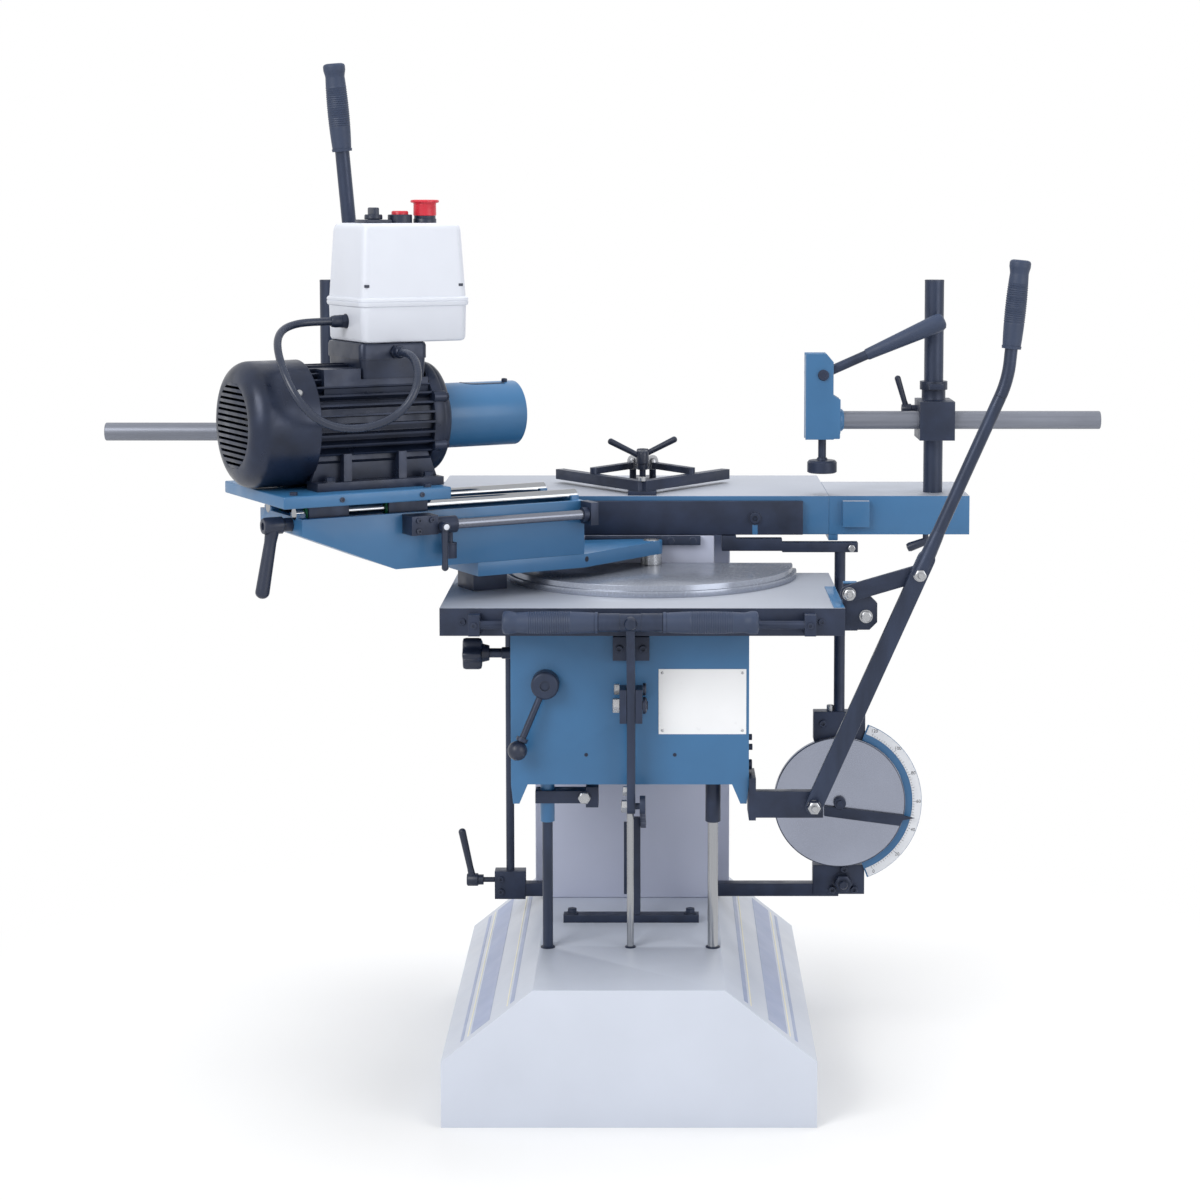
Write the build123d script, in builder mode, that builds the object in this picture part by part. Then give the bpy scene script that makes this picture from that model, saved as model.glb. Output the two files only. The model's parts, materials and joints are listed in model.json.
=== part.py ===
from build123d import *
import os
from math import atan2, cos, degrees, pi, radians, sin, tan

os.makedirs("parts", exist_ok=True)

# Slot mortiser on a floor plinth. Millimetres, +X to the operator's right, +Y away from the
# operator, +Z up. The origin is the centre of the plinth's underside, on the floor.

# Clearances
slide_gap = 0.3
pin_gap = 0.05
free_gap = 2.0

# Plinth
base_width = 520.0
base_depth = 640.0
base_side_height = 93.0
base_height = 194.0
base_top_width = 265.0
base_sheet = 6.0

# Column and table
column_front = 130.0
column_width = 254.0
column_step = 70.0
column_rear_width = 307.0
column_depth = 180.0
column_wall = 12.0
table_top_z = 823.0
table_thickness = 60.0
table_width = 610.0
table_front = 145.0
table_depth = 285.0
table_wall = 16.0
front_plate_thickness = 12.0
front_plate_height = 52.0
front_plate_drop = 7.0
front_plate_half = 264.0
front_screw_x = 190.0
front_screw_radius = 8.0
front_screw_socket = 4.0
bolt_hex_radius = 7.5
bolt_head_height = 5.0
lower_strip_height = 13.0
lower_strip_left = -72.0
lower_strip_right = 106.0
wing_length = 217.0
wing_depth = 193.0
wing_height = 60.0
wing_wall = 14.0
wing_pad_width = 41.0
wing_pad_height = 40.0

# Clamps
post_x = 471.0
post_y = 200.0
post_radius = 15.0
post_rise = 332.0
post_boss_radius = 32.0
clamp_bar_radius = 14.0
clamp_bar_length = 430.0
clamp_bar_rise = 116.0
clamp_bar_y = 165.0
clamp_block_half = 27.0
clamp_block_height = 60.0
clamp_block_wall = 9.0
clamp_neck_radius = 18.5
clamp_neck_height = 15.0
clamp_collar_height = 13.0
clamp_head_width = 54.0
clamp_head_depth = 40.0
clamp_head_rise = 104.0
clamp_head_drop = 29.0
clamp_cheek = 9.0
clamp_lever_rise = 71.0
clamp_lever_length = 206.0
clamp_grip_start = 0.36
clamp_grip_radius = 14.0
clamp_stem_radius = 6.25
clamp_foot_radius = 23.0
clamp_foot_height = 20.0
clamp_foot_drop = 82.0
clamp_stem_rise = 21.0
clamp_collar_step = 3.0
clamp_screw_radius = 3.5
clamp_screw_length = 14.0
clamp_wing_half = 11.0
clamp_wing_depth = 7.0
clamp_wing_height = 8.0
clamp_web_start = 10.0
clamp_guide_half = 14.0
clamp_guide_height = 22.0
clamp_chamfer = 11.0
clamp_shoulder_rise = 36.0
clamp_pin_radius = 5.0
clamp_pin_overhang = 4.0
clamp_hub_radius = 15.0
clamp_lever_half = 9.0
block_lever_y = 205.0
block_lever_rise = 14.0
block_lever_reach = 48.0
block_hub_radius = 8.0
block_hub_length = 22.0
block_lever_lift = 12.0
right_clamp_x = 295.0
right_clamp_drop = 0.0
right_lever_angle = 24.0
left_clamp_x = -385.0
left_clamp_drop = 18.0
left_lever_angle = 3.0

# Knee
knee_width = 340.0
knee_front = -170.0
knee_bottom = 446.0
knee_top = 667.5
knee_wall = 12.0
knee_rear_wall = 20.0
knee_rib_height = 18.0
knee_rib_depth = 64.0
knee_tab_drop = 28.0
knee_tab_taper = 3.0
guide_bar_width = 60.0
guide_bar_height = 17.5
guide_bar_y = -30.0
guide_rod_x = 120.0
guide_rod_y = -122.0
guide_rod_radius = 7.5
guide_rod_top = 540.0
strut_rod_radius = 5.0
strut_cylinder_radius = 12.0
boss_drop = 65.0
boss_radius = 10.4
rod_seat_depth = 40.0
crank_x = -120.0
crank_z = 593.0
crank_hub_radius = 20.0
crank_hub_length = 24.0
crank_rod_radius = 6.0
crank_ball_radius = 14.0
crank_reach = Vector(-39.0, -14.0, -92.0)
knob_y = -120.0
knob_z = 627.0
knob_shaft_length = 33.0
knob_shaft_radius = 8.5
knob_length = 38.0
knob_radius = 18.0
knob_lobes = 5
lobe_circle = 16.0
lobe_radius = 9.0
collar_drop = 42.0
collar_gap = 12.0
collar_overhang = 17.0
collar_end = -46.0
collar_half = 14.0
collar_arm_inset = 6.0
collar_block = 18.0
upper_bracket_half = 26.0
upper_bracket_depth = 14.0
upper_bracket_height = 34.0
upper_bracket_drop = 6.0

# Lift lever at the knee's front
lever_thickness = 12.0
lever_x = 2.0
lift_pivot_y = -196.0
lift_pivot_z = 566.0
lift_arm_below = 145.0
handle_y = -270.0
handle_z = 697.0
handle_grip_radius = 16.0
handle_grip_length = 132.0
handle_bar_radius = 13.0
handle_hub_width = 90.0
lever_half_width = 11.0
lift_bend_rise = 30.0
lift_pin_radius = 6.0
lift_pin_overhang = 18.0
lift_cheek = 10.0
lift_cheek_overhang = 12.0
lift_cheek_half = 24.0
lift_end_pin_radius = 4.5
lift_end_pin_overhang = 3.0
upright_y = 8.0
upright_z = 345.0
upright_width = 12.0
upright_plate_left = -11.0
upright_plate_low = 235.0
link_thickness = 8.0
link_half_width = 8.0
link_pin_radius = 4.0
link_eye_half = 13.0
link_slot_travel = 32.0
link_slot_width = 13.0
cross_bar_length = 204.0
cross_bolt_inset = 13.0
cross_bar_height = 11.5
cross_bar_depth = 20.0

# Cross slide
plate_left = -267.0
plate_right = 303.0
plate_front = -210.0
plate_rear = 120.0
plate_thickness = 39.2
rail_radius = 6.0
rail_y = -225.0
rail_z = 686.0
clip_width = 16.0
clip_inset = 50.0
clip_overhang = 8.0
clip_half_height = 15.0
bracket_half = 13.0
bracket_depth = 16.0
stop_bracket_end = 352.0
stop_bracket_low = 669.0
stop_bracket_top = 718.0
stop_bracket_chamfer = 11.0
disc_radius = 222.0
disc_tier = 6.0
disc_lower = 9.0
disc_upper = 8.0
disc_rear = 112.0

# Traverse lever at the right
fulcrum_x = 262.0
fulcrum_z = 418.0
fulcrum_y = -176.0
fulcrum_arm_height = 38.0
fulcrum_arm_depth = 16.0
lever_bar_width = 25.0
lever_bar_depth = 12.0
link_pin_x = 410.0
link_pin_z = 751.0
plate_pin_x = 311.0
plate_pin_z = 722.0
plate_pin_radius = 5.0
pin_nut_radius = 9.0
pin_nut_height = 8.0
traverse_link_half = 12.0
fulcrum_flange = 10.0
fulcrum_flange_depth = 66.0
fulcrum_flange_drop = 4.0
fulcrum_flange_top = 456.0
fulcrum_end = 14.0
fulcrum_pin_radius = 6.0
fulcrum_nut_radius = 11.0
fulcrum_nut_height = 9.0
lever_bar_length = 400.0
lever_bend_x = 532.0
lever_bend_z = 1027.0
lever_top_x = 548.0
lever_top_z = 1195.0
lever_rod_radius = 9.0
lever_grip_length = 125.0
lever_grip_radius = 16.0
grip_seat_depth = 5.0

# Swivel head, measured along and across the drill axis from the swivel pin
pivot_x = 30.0
pivot_y = 100.0
head_yaw = 30.0
pivot_pin_radius = 10.0
pivot_pin_length = 28.0
arm_rise = 16.5
arm_thickness = 20.0
arm_boss_radius = 16.0
arm_end_radius = 17.0
arm_rear = -332.0
housing_rear = -600.0
housing_front = -159.0
housing_half = 80.0
housing_wall = 8.0
housing_end_plate = 12.0
housing_top = 840.0
housing_slope_end = -460.0
housing_rear_height = 24.0
slide_rail_radius = 9.0
slide_rail_v = 50.0
slide_rail_z = 845.0
rail_stand_half = 13.0
rail_stand_top = 846.0
bearing_length = 60.0
bearing_half = 18.0
bearing_drop = 15.0
bearing_rear = -585.0
bearing_pitch = 120.0
carriage_rear = -640.0
carriage_front = -390.0
carriage_half = 115.0
carriage_bottom = 860.0
carriage_thickness = 17.0
stop_rod_radius = 7.0
stop_rod_v = -100.0
stop_rod_z = 822.0
stop_rod_rear = -395.0
feed_block_rear = -450.0
feed_block_front = -410.0
feed_block_overhang = 14.0
feed_block_drop = 11.0
feed_block_rise = 16.0
feed_collar_rear = -415.0
feed_collar_front = -377.0
feed_collar_radius = 12.0
end_bracket_half = 6.0
end_bracket_overhang = 12.0
end_bracket_drop = 15.0
feed_knob_u = -385.0
feed_knob_stem_radius = 3.5
feed_knob_stem = 26.0
feed_knob_length = 22.0
feed_knob_radius = 9.0
stop_lever_u = -403.0
stop_lever_offset = 8.0
stop_lever_hub_length = 14.0
stop_lever_hub_radius = 6.5
stop_lever_reach = 58.0
stop_lever_radius = 5.0
foot_rear = -305.0
foot_front = -250.0
foot_near = -8.0
foot_far = 45.0
lock_v = -40.0
lock_z = 829.0
lock_reach = 92.0
lock_hub_radius = 12.0
lock_hub_length = 42.0
lock_lift = 10.0

# Motor on the carriage
shaft_height = 90.0
cowl_rear = -669.0
cowl_front = -572.0
cowl_radius = 88.5
cowl_wall = 2.5
cowl_slots = 7
cowl_slot_half = 4.0
cowl_slot_margin = 36.0
cowl_lap = 16.0
cowl_round = 26.0
motor_front = -368.0
motor_core_radius = 68.0
motor_fin_radius = 82.0
motor_fins = 36
fin_thickness = 3.0
fin_root = 4.0
foot_inner = 46.0
foot_outer = 86.0
foot_height = 12.0
foot_lap = 7.0
foot_reach = 10.0
foot_rib_outer = 77.0
foot_rib_inset = 36.0
foot_rib_pitch = 83.0
foot_rib_length = 12.0
foot_rib_drop = 40.0
shield_length = 30.0
shield_radius = 80.0
shield_round = 13.0
shaft_radius = 12.0
fan_radius = 74.0
fan_offset = 28.0
fan_length = 26.0
fan_hub_radius = 24.0
fan_blades = 6
blade_thickness = 4.0
guard_front = -235.0
guard_radius = 47.0
guard_wall = 3.0
chuck_radius = 24.0
chuck_rear = -328.0
chuck_front = -238.0
tool_bore_radius = 8.0
tool_bore_depth = 45.0
terminal_rear = -503.0
terminal_front = -400.0
terminal_half = 62.0
terminal_top = 1079.0
terminal_sink = 6.0
motor_pad_rear = -558.0
motor_pad_low = 33.0
motor_pad_rise = 77.0
terminal_round = 8.0

# Control box on the terminal box
box_middle = -419.0
box_length = 164.0
box_half = 65.0
box_rim_height = 12.0
box_lid_z = 1142.0
box_top = 1246.0
box_wall = 3.0
box_taper = 6.0
box_round = 9.0
gland_radius = 9.0
gland_length = 23.0
gland_v = -5.0
gland_z = 1108.0
cable_radius = 5.5
terminal_gland_u = -448.0
terminal_gland_z = 1066.0
terminal_gland_length = 16.0
selector_u = -455.0
start_u = -414.0
stop_u = -375.0
collar_floor = 3.0
selector_plate_half = 20.0
selector_plate_height = 5.0
start_collar_radius = 17.5
start_collar_height = 12.0
stop_collar_radius = 16.5
stop_collar_height = 6.0
button_stem_radius = 8.0
button_stem_depth = 22.0
selector_radius = 13.0
selector_base = 7.0
selector_half_width = 4.0
selector_height = 17.0
start_radius = 12.0
start_height = 10.0
stop_neck_radius = 16.5
stop_radius = 20.5
stop_lip = 5.0
stop_height = 23.0
button_travel = 4.0

# Feed lever behind the motor
feed_u = -394.0
feed_v = 122.0
feed_z = 775.0
feed_thickness = 12.0
feed_top_u = -460.0
feed_top_z = 1477.0
feed_grip_length = 128.0
feed_rod_radius = 8.0
feed_bar_length = 127.0
feed_bar_half = 16.0
feed_boss_radius = 14.0
feed_shaft_overhang = 5.0

# Dial beside the column
dial_x = 322.0
dial_rise = 154.0
dial_radius = 102.0
dial_thickness = 10.0
dial_scale_radius = 128.0
dial_scale_thickness = 4.0
dial_scale_half_angle = 70.0
dial_bar_y = 142.0
dial_bar_depth = 20.0
dial_bar_rise = 12.0
dial_bar_height = 20.0
dial_block_half = 40.0
dial_block_height = 46.0
dial_block_lap = 8.0
dial_rod_radius = 8.5
dial_arm_gap = 5.0
dial_arm_height = 19.0
dial_arm_start = 139.0
dial_arm_step = 232.0
dial_arm_pad = 22.0
dial_tip_drop = 11.0
dial_tip_height = 15.0
dial_arm_end = 27.0
dial_backing_half = 16.0
dial_bolt_x = 30.0
dial_bolt_rise = 14.0
dial_pin_radius = 5.0
pointer_hub_radius = 9.5
pointer_hub_height = 8.0
pointer_pin_height = 10.0
pointer_thickness = 6.0
pointer_tail = Vector(-24.0, -4.5)
pointer_tail_low = Vector(-24.0, -20.5)
pointer_heel = Vector(93.0, -36.0)
pointer_notch = Vector(98.0, -27.0)
pointer_tip = Vector(116.0, -24.0)
pointer_shoulder = Vector(98.0, -19.5)

# Depth stop rod at the column's left
stop_post_x = -190.0
stop_post_radius = 6.25
stop_post_top = 655.0
stop_block_height = 44.0
stop_block_half = 24.0
stop_block_drop = 4.0
stop_stud_length = 18.0
stop_stud_radius = 4.0
stop_handle_drop = 16.0
stop_handle_reach = 76.0

# Fence on the table
fence_x = 16.0
fence_y = 158.0
fence_angle = 38.0
fence_bar_length = 218.0
fence_bar_width = 16.0
fence_bar_height = 16.0
fence_lift = 6.0
fence_joint_reach = 125.0
fence_link_half = 6.5
fence_link_spread = 16.0
fence_link_height = 10.0
fence_nut_radius = 5.5
fence_nut_height = 15.0
fence_stud_radius = 5.0
fence_stud_rise = 4.0
fence_handle_reach = 55.0
fence_handle_climb = 8.0
fence_hub_length = 30.0
fence_left_place = 125.0
fence_right_place = 158.0
fence_centre_width = 44.0
fence_centre_length = 226.0

# Places worked out from the values above
dial_z = base_height + dial_rise
dial_bar_z = base_height + dial_bar_rise
table_bottom = table_top_z - table_thickness
post_top = table_top_z + post_rise
plate_top = knee_top + slide_gap + plate_thickness
disc_top = plate_top + disc_lower + disc_upper
arm_bottom = disc_top + arm_rise
arm_top = arm_bottom + arm_thickness
carriage_top = carriage_bottom + carriage_thickness
motor_z = carriage_top + shaft_height
lift_end_z = lift_pivot_z - lift_arm_below
bearing_starts = (bearing_rear, bearing_rear + bearing_pitch)

UP = (Align.CENTER, Align.CENTER, Align.MIN)
WORLD = Plane.XY
HEAD = Plane(
    origin=(pivot_x, pivot_y, 0),
    x_dir=(cos(radians(head_yaw)), sin(radians(head_yaw)), 0),
    z_dir=(0, 0, 1),
)


def block(x, y, z, frame=WORLD, mode=Mode.ADD):
    """A box between a low and a high value on each axis of a frame."""
    middle = [(low + high) / 2 for low, high in (x, y, z)]
    size = [high - low for low, high in (x, y, z)]
    with Locations(frame.location * Location(middle)):
        Box(*size, mode=mode)


def rod(start, end, radius, frame=WORLD, mode=Mode.ADD, end_radius=None):
    """A round bar between two points of a frame, tapered if it has an end radius."""
    first = Vector(*start)
    run = Vector(*end) - first
    with Locations(frame.location * Plane(origin=first, z_dir=run).location):
        if end_radius is None:
            Cylinder(radius, run.length, align=UP, mode=mode)
        else:
            Cone(radius, end_radius, run.length, align=UP, mode=mode)


def ball(centre, radius, frame=WORLD):
    """A sphere at a point of a frame."""
    with Locations(frame.location * Location(centre)):
        Sphere(radius)


def prism(points, plane, amount, mode=Mode.ADD):
    """A flat outline of straight sides, raised from its plane."""
    with BuildSketch(plane) as outline:
        with BuildLine():
            Polyline(*points, close=True)
        make_face()
    extrude(outline.sketch, amount=amount, mode=mode)


def flat_link(start, end, half_width, plane, amount):
    """A flat bar with round ends between two points of a plane."""
    with BuildSketch(plane) as outline:
        SlotCenterToCenter((Vector(*end) - Vector(*start)).length, 2 * half_width)
    middle = (Vector(*start) + Vector(*end)) * 0.5
    run = Vector(*end) - Vector(*start)
    turn = degrees(atan2(run.Y, run.X))
    face = plane.location * Location((middle.X, middle.Y, 0), (0, 0, turn)) * plane.location.inverse()
    extrude(outline.sketch.moved(face), amount=amount)


def side_plane(y):
    """A plane that faces the operator at a depth, with X to the right and Z up."""
    return Plane(origin=(0, y, 0), x_dir=(1, 0, 0), z_dir=(0, -1, 0))


def across_plane(x):
    """A plane that faces right at a place along X, with Y to the right and Z up."""
    return Plane(origin=(x, 0, 0), x_dir=(0, 1, 0), z_dir=(1, 0, 0))


def head_side(v):
    """A plane along the drill axis, with the axis to the right and Z up, facing the operator."""
    return Plane(HEAD.location * Location((0, v, 0), (90, 0, 0)))


def clamp_handle(hub, axis, reach, frame=WORLD, hub_radius=10.0, hub_length=26.0, lift=14.0):
    """A clamping lever: a hub along an axis and a tapered handle with a round tip."""
    foot = Vector(*hub)
    along = Vector(*axis).normalized()
    head = foot + along * hub_length
    out = Vector(*reach)
    neck = foot + along * (hub_length - hub_radius * 0.7)
    tip = neck + out + along * lift
    rod(foot, head, hub_radius, frame)
    rod(neck, tip, hub_radius * 0.55, frame, end_radius=hub_radius * 0.75)
    ball(tip, hub_radius * 0.75, frame)


def plinth_outline(inset, floor):
    """The plinth seen from the front, drawn in by a sheet thickness."""
    half = base_width / 2 - inset
    top_half = base_top_width / 2 - inset * 0.5
    return [
        (-half, floor),
        (half, floor),
        (half, base_side_height - inset * 0.4),
        (top_half, base_height - inset),
        (-top_half, base_height - inset),
        (-half, base_side_height - inset * 0.4),
    ]


# Plinth: a closed box of folded sheet, with holes for the guide rods
with BuildPart() as base:
    prism(plinth_outline(0, 0), side_plane(base_depth / 2), base_depth)
    prism(
        plinth_outline(base_sheet, base_sheet),
        side_plane(base_depth / 2 - base_sheet),
        base_depth - 2 * base_sheet,
        Mode.SUBTRACT,
    )
    rod_holes = ((-guide_rod_x, guide_rod_radius), (0, strut_rod_radius), (guide_rod_x, guide_rod_radius))
    for place, hole in rod_holes:
        rod(
            (place, guide_rod_y, base_height - 2 * base_sheet),
            (place, guide_rod_y, base_height + base_sheet),
            hole,
            mode=Mode.SUBTRACT,
        )
base.part.label = "base"
export_step(base.part, "parts/base.step")

# Column: a welded box with a wider rear box, open below and above
with BuildPart() as column:
    step_y = column_front + column_step
    rear_y = column_front + column_depth
    half = column_width / 2
    rear_half = column_rear_width / 2
    block((-half, half), (column_front, step_y), (base_height, table_bottom))
    block((-rear_half, rear_half), (step_y, rear_y), (base_height, table_bottom))
    block(
        (-half + column_wall, half - column_wall),
        (column_front + column_wall, rear_y - column_wall),
        (base_height, table_bottom),
        mode=Mode.SUBTRACT,
    )
column.part.label = "column"
export_step(column.part, "parts/column.step")

# Table: ribbed casting with a solid middle over the column
with BuildPart() as table_top:
    half = table_width / 2
    table_rear = table_front + table_depth
    block((-half, half), (table_front, table_rear), (table_bottom, table_top_z))
    for side in (-1, 1):
        inner = side * (column_rear_width / 2 + table_wall)
        outer = side * (half - table_wall)
        block(
            (min(inner, outer), max(inner, outer)),
            (table_front + table_wall, table_rear - table_wall),
            (table_bottom, table_top_z - table_wall),
            mode=Mode.SUBTRACT,
        )
table_top.part.label = "table_top"
export_step(table_top.part, "parts/table_top.step")

# Black ground plate on the table's front edge, and the strip under it
with BuildPart() as table_front_plate:
    plate_z = table_top_z - front_plate_drop
    front_y = table_front - front_plate_thickness
    plate_ends = (-front_plate_half, front_plate_half)
    block(plate_ends, (front_y, table_front), (plate_z - front_plate_height, plate_z))
    block(
        (lower_strip_left, lower_strip_right),
        (column_front - front_plate_thickness, column_front),
        (table_bottom - lower_strip_height, table_bottom),
    )
table_front_plate.part.label = "table_front_plate"
export_step(table_front_plate.part, "parts/table_front_plate.step")

# Wings: two castings that carry the clamp posts
with BuildPart() as table_wings:
    for side in (-1, 1):
        near = side * table_width / 2
        far = side * (table_width / 2 + wing_length)
        low_z = table_top_z - wing_height
        ends = (min(near, far), max(near, far))
        block(ends, (table_front, table_front + wing_depth), (low_z, table_top_z))
        block(
            (ends[0] + wing_wall, ends[1] - wing_wall),
            (table_front + wing_wall, table_front + wing_depth - wing_wall),
            (low_z, table_top_z - wing_wall),
            mode=Mode.SUBTRACT,
        )
        post_foot = (side * post_x, post_y, low_z)
        post_exit = (side * post_x, post_y, table_top_z)
        rod(post_foot, post_exit, post_boss_radius)
        rod(post_foot, post_exit, post_radius, mode=Mode.SUBTRACT)
        pad = side * (table_width / 2 + wing_pad_width)
        block(
            (pad - wing_pad_width / 2, pad + wing_pad_width / 2),
            (table_front - front_plate_thickness, table_front),
            (table_top_z - front_plate_drop - wing_pad_height, table_top_z - front_plate_drop),
        )
table_wings.part.label = "table_wings"
export_step(table_wings.part, "parts/table_wings.step")

# Clamp posts in the wings' bosses
with BuildPart() as clamp_posts:
    for side in (-1, 1):
        post_low = table_top_z - wing_height
        rod((side * post_x, post_y, post_low), (side * post_x, post_y, post_top), post_radius)
clamp_posts.part.label = "clamp_posts"
export_step(clamp_posts.part, "parts/clamp_posts.step")

# Cross bar on the plinth with the upright that holds the lift link
with BuildPart() as stop_upright:
    block(
        (-cross_bar_length / 2, cross_bar_length / 2),
        (upright_y - cross_bar_depth / 2, upright_y + cross_bar_depth / 2),
        (base_height, base_height + cross_bar_height),
    )
    upright_left = lever_x + lever_thickness / 2 - upright_width / 2
    upright_right = upright_left + upright_width
    block(
        (upright_left, upright_right),
        (upright_y - upright_width / 2, upright_y + upright_width / 2),
        (base_height, upright_z + link_half_width),
    )
    block(
        (upright_plate_left, upright_right),
        (upright_y, upright_y + upright_width / 2),
        (upright_plate_low, upright_z),
    )
    link_left = upright_right + slide_gap
    rod(
        (upright_left, upright_y, upright_z),
        (link_left + link_thickness + slide_gap, upright_y, upright_z),
        link_pin_radius,
    )
stop_upright.part.label = "stop_upright"
export_step(stop_upright.part, "parts/stop_upright.step")

# Rods between plinth and knee: the dark one is the left guide
with BuildPart() as guide_rod_left:
    rod_foot = base_height - rod_seat_depth
    rod((-guide_rod_x, guide_rod_y, rod_foot), (-guide_rod_x, guide_rod_y, guide_rod_top), guide_rod_radius)
guide_rod_left.part.label = "guide_rod_left"
export_step(guide_rod_left.part, "parts/guide_rod_left.step")

with BuildPart() as chrome_rods:
    rod((guide_rod_x, guide_rod_y, rod_foot), (guide_rod_x, guide_rod_y, guide_rod_top), guide_rod_radius)
    rod((0, guide_rod_y, rod_foot), (0, guide_rod_y, guide_rod_top), strut_rod_radius)
chrome_rods.part.label = "chrome_rods"
export_step(chrome_rods.part, "parts/chrome_rods.step")

# Depth stop at the column's left: bar, clamp block and rod
with BuildPart() as depth_stop:
    block_low = dial_bar_z - dial_bar_height / 2 - stop_block_drop
    block(
        (stop_post_x + stop_block_half, -column_width / 2),
        (dial_bar_y - dial_bar_depth / 2, dial_bar_y + dial_bar_depth / 2),
        (dial_bar_z - dial_bar_height / 2, dial_bar_z + dial_bar_height / 2),
    )
    block(
        (stop_post_x - stop_block_half, stop_post_x + stop_block_half),
        (dial_bar_y - stop_block_half / 2, dial_bar_y + stop_block_half / 2),
        (block_low, block_low + stop_block_height),
    )
    rod((stop_post_x, dial_bar_y, block_low), (stop_post_x, dial_bar_y, stop_post_top), stop_post_radius)
    stop_lever_z = block_low + stop_block_height - stop_handle_drop
    stop_lever_x = stop_post_x - stop_block_half
depth_stop.part.label = "depth_stop"
export_step(depth_stop.part, "parts/depth_stop.step")

with BuildPart() as depth_stop_lever:
    stud_end = (stop_lever_x - stop_stud_length, dial_bar_y, stop_lever_z)
    rod((stop_lever_x - slide_gap, dial_bar_y, stop_lever_z), stud_end, stop_stud_radius)
    clamp_handle(stud_end, (-1, 0, 0), (0, 0, stop_handle_reach))
depth_stop_lever.part.label = "depth_stop_lever"
export_step(depth_stop_lever.part, "parts/depth_stop_lever.step")

# Dial frame: bottom bar, lower and upper blocks, backing bar, rod and the arm under the table
with BuildPart() as dial_frame:
    bar_y = (dial_bar_y - dial_bar_depth / 2, dial_bar_y + dial_bar_depth / 2)
    block_y = (dial_bar_y - stop_block_half / 2, dial_bar_y + stop_block_half / 2)
    block_x = (dial_x - dial_block_half, dial_x + dial_block_half)
    lower_z = dial_z - dial_radius - dial_block_height
    upper_z = dial_z + dial_radius - dial_block_lap
    bar_low = dial_bar_z - dial_bar_height / 2
    block((column_width / 2, dial_x), bar_y, (bar_low, bar_low + dial_bar_height))
    block(block_x, block_y, (lower_z, lower_z + dial_block_height))
    block(block_x, block_y, (upper_z, upper_z + dial_block_height))
    backing = (dial_x - dial_backing_half, dial_x + dial_backing_half)
    block(backing, block_y, (lower_z, upper_z + free_gap))
    tip_top = table_bottom - dial_tip_drop
    rod((dial_x, dial_bar_y, upper_z), (dial_x, dial_bar_y, tip_top), dial_rod_radius)
    block((dial_arm_step, dial_x + dial_arm_end), bar_y, (tip_top - dial_tip_height, tip_top))
    arm_high = table_bottom - dial_arm_gap
    block((dial_arm_start, dial_arm_step), bar_y, (arm_high - dial_arm_height, arm_high))
    block((dial_arm_start, dial_arm_start + dial_arm_pad), bar_y, (arm_high, table_bottom))
dial_frame.part.label = "dial_frame"
export_step(dial_frame.part, "parts/dial_frame.step")

with BuildPart() as dial_disc:
    dial_back = block_y[0]
    dial_centre = (dial_x, dial_back, dial_z)
    dial_face = (dial_x, dial_back - dial_thickness, dial_z)
    rod(dial_centre, dial_face, dial_radius)
    rod(dial_centre, dial_face, dial_pin_radius + pin_gap, mode=Mode.SUBTRACT)

with BuildPart() as dial_scale:
    with BuildSketch(side_plane(dial_back)):
        with BuildLine():
            arc_start = -dial_scale_half_angle
            rim = CenterArc((dial_x, dial_z), dial_radius, arc_start, 2 * dial_scale_half_angle)
            edge = CenterArc((dial_x, dial_z), dial_scale_radius, arc_start, 2 * dial_scale_half_angle)
            Line(rim @ 0, edge @ 0)
            Line(rim @ 1, edge @ 1)
        make_face()
    extrude(amount=dial_scale_thickness)
dial_pieces = Compound(label="dial_disc", children=[dial_disc.part, dial_scale.part])
export_step(dial_pieces, "parts/dial_disc.step")

with BuildPart() as dial_pointer:
    hand_y = dial_back - dial_thickness - slide_gap
    pin_y = hand_y - pointer_pin_height
    rod((dial_x, dial_back - slide_gap, dial_z), (dial_x, pin_y, dial_z), dial_pin_radius)
    rod((dial_x, hand_y, dial_z), (dial_x, hand_y - pointer_hub_height, dial_z), pointer_hub_radius)
    hand_tail = (pointer_tail, pointer_tail_low)
    hand_nose = (pointer_heel, pointer_notch, pointer_tip, pointer_shoulder)
    hand_points = [(dial_x + corner.X, dial_z + corner.Y) for corner in hand_tail + hand_nose]
    prism(hand_points, side_plane(hand_y), pointer_thickness)
dial_pointer.part.label = "dial_pointer"
export_step(dial_pointer.part, "parts/dial_pointer.step")

# Fence: two stop bars in a V, their rear links, the centre bar and its nuts
with BuildPart() as fence:
    fence_low = table_top_z + fence_lift
    fence_high = fence_low + fence_bar_height
    half = fence_bar_width / 2
    block(
        (fence_x - fence_centre_width / 2, fence_x + fence_centre_width / 2),
        (fence_y - half, fence_y + fence_centre_length),
        (table_top_z, fence_low),
    )
    centre_rear = fence_y + fence_centre_length - fence_centre_width
    for side in (-1, 1):
        turn = radians(fence_angle)
        bar = Plane(
            origin=(fence_x, fence_y, 0),
            x_dir=(side * sin(turn), cos(turn), 0),
            z_dir=(0, 0, 1),
        )
        block((0, fence_bar_length), (-half, half), (fence_low, fence_high), bar)
        joint = (fence_x + side * fence_joint_reach * sin(turn), fence_y + fence_joint_reach * cos(turn))
        back = (fence_x + side * fence_link_spread, centre_rear)
        flat_link(joint, back, fence_link_half, WORLD.offset(fence_high), fence_link_height)
        rod((*back, fence_low), (*back, fence_high + fence_nut_height), fence_nut_radius)
fence.part.label = "fence"
export_step(fence.part, "parts/fence.step")

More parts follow.
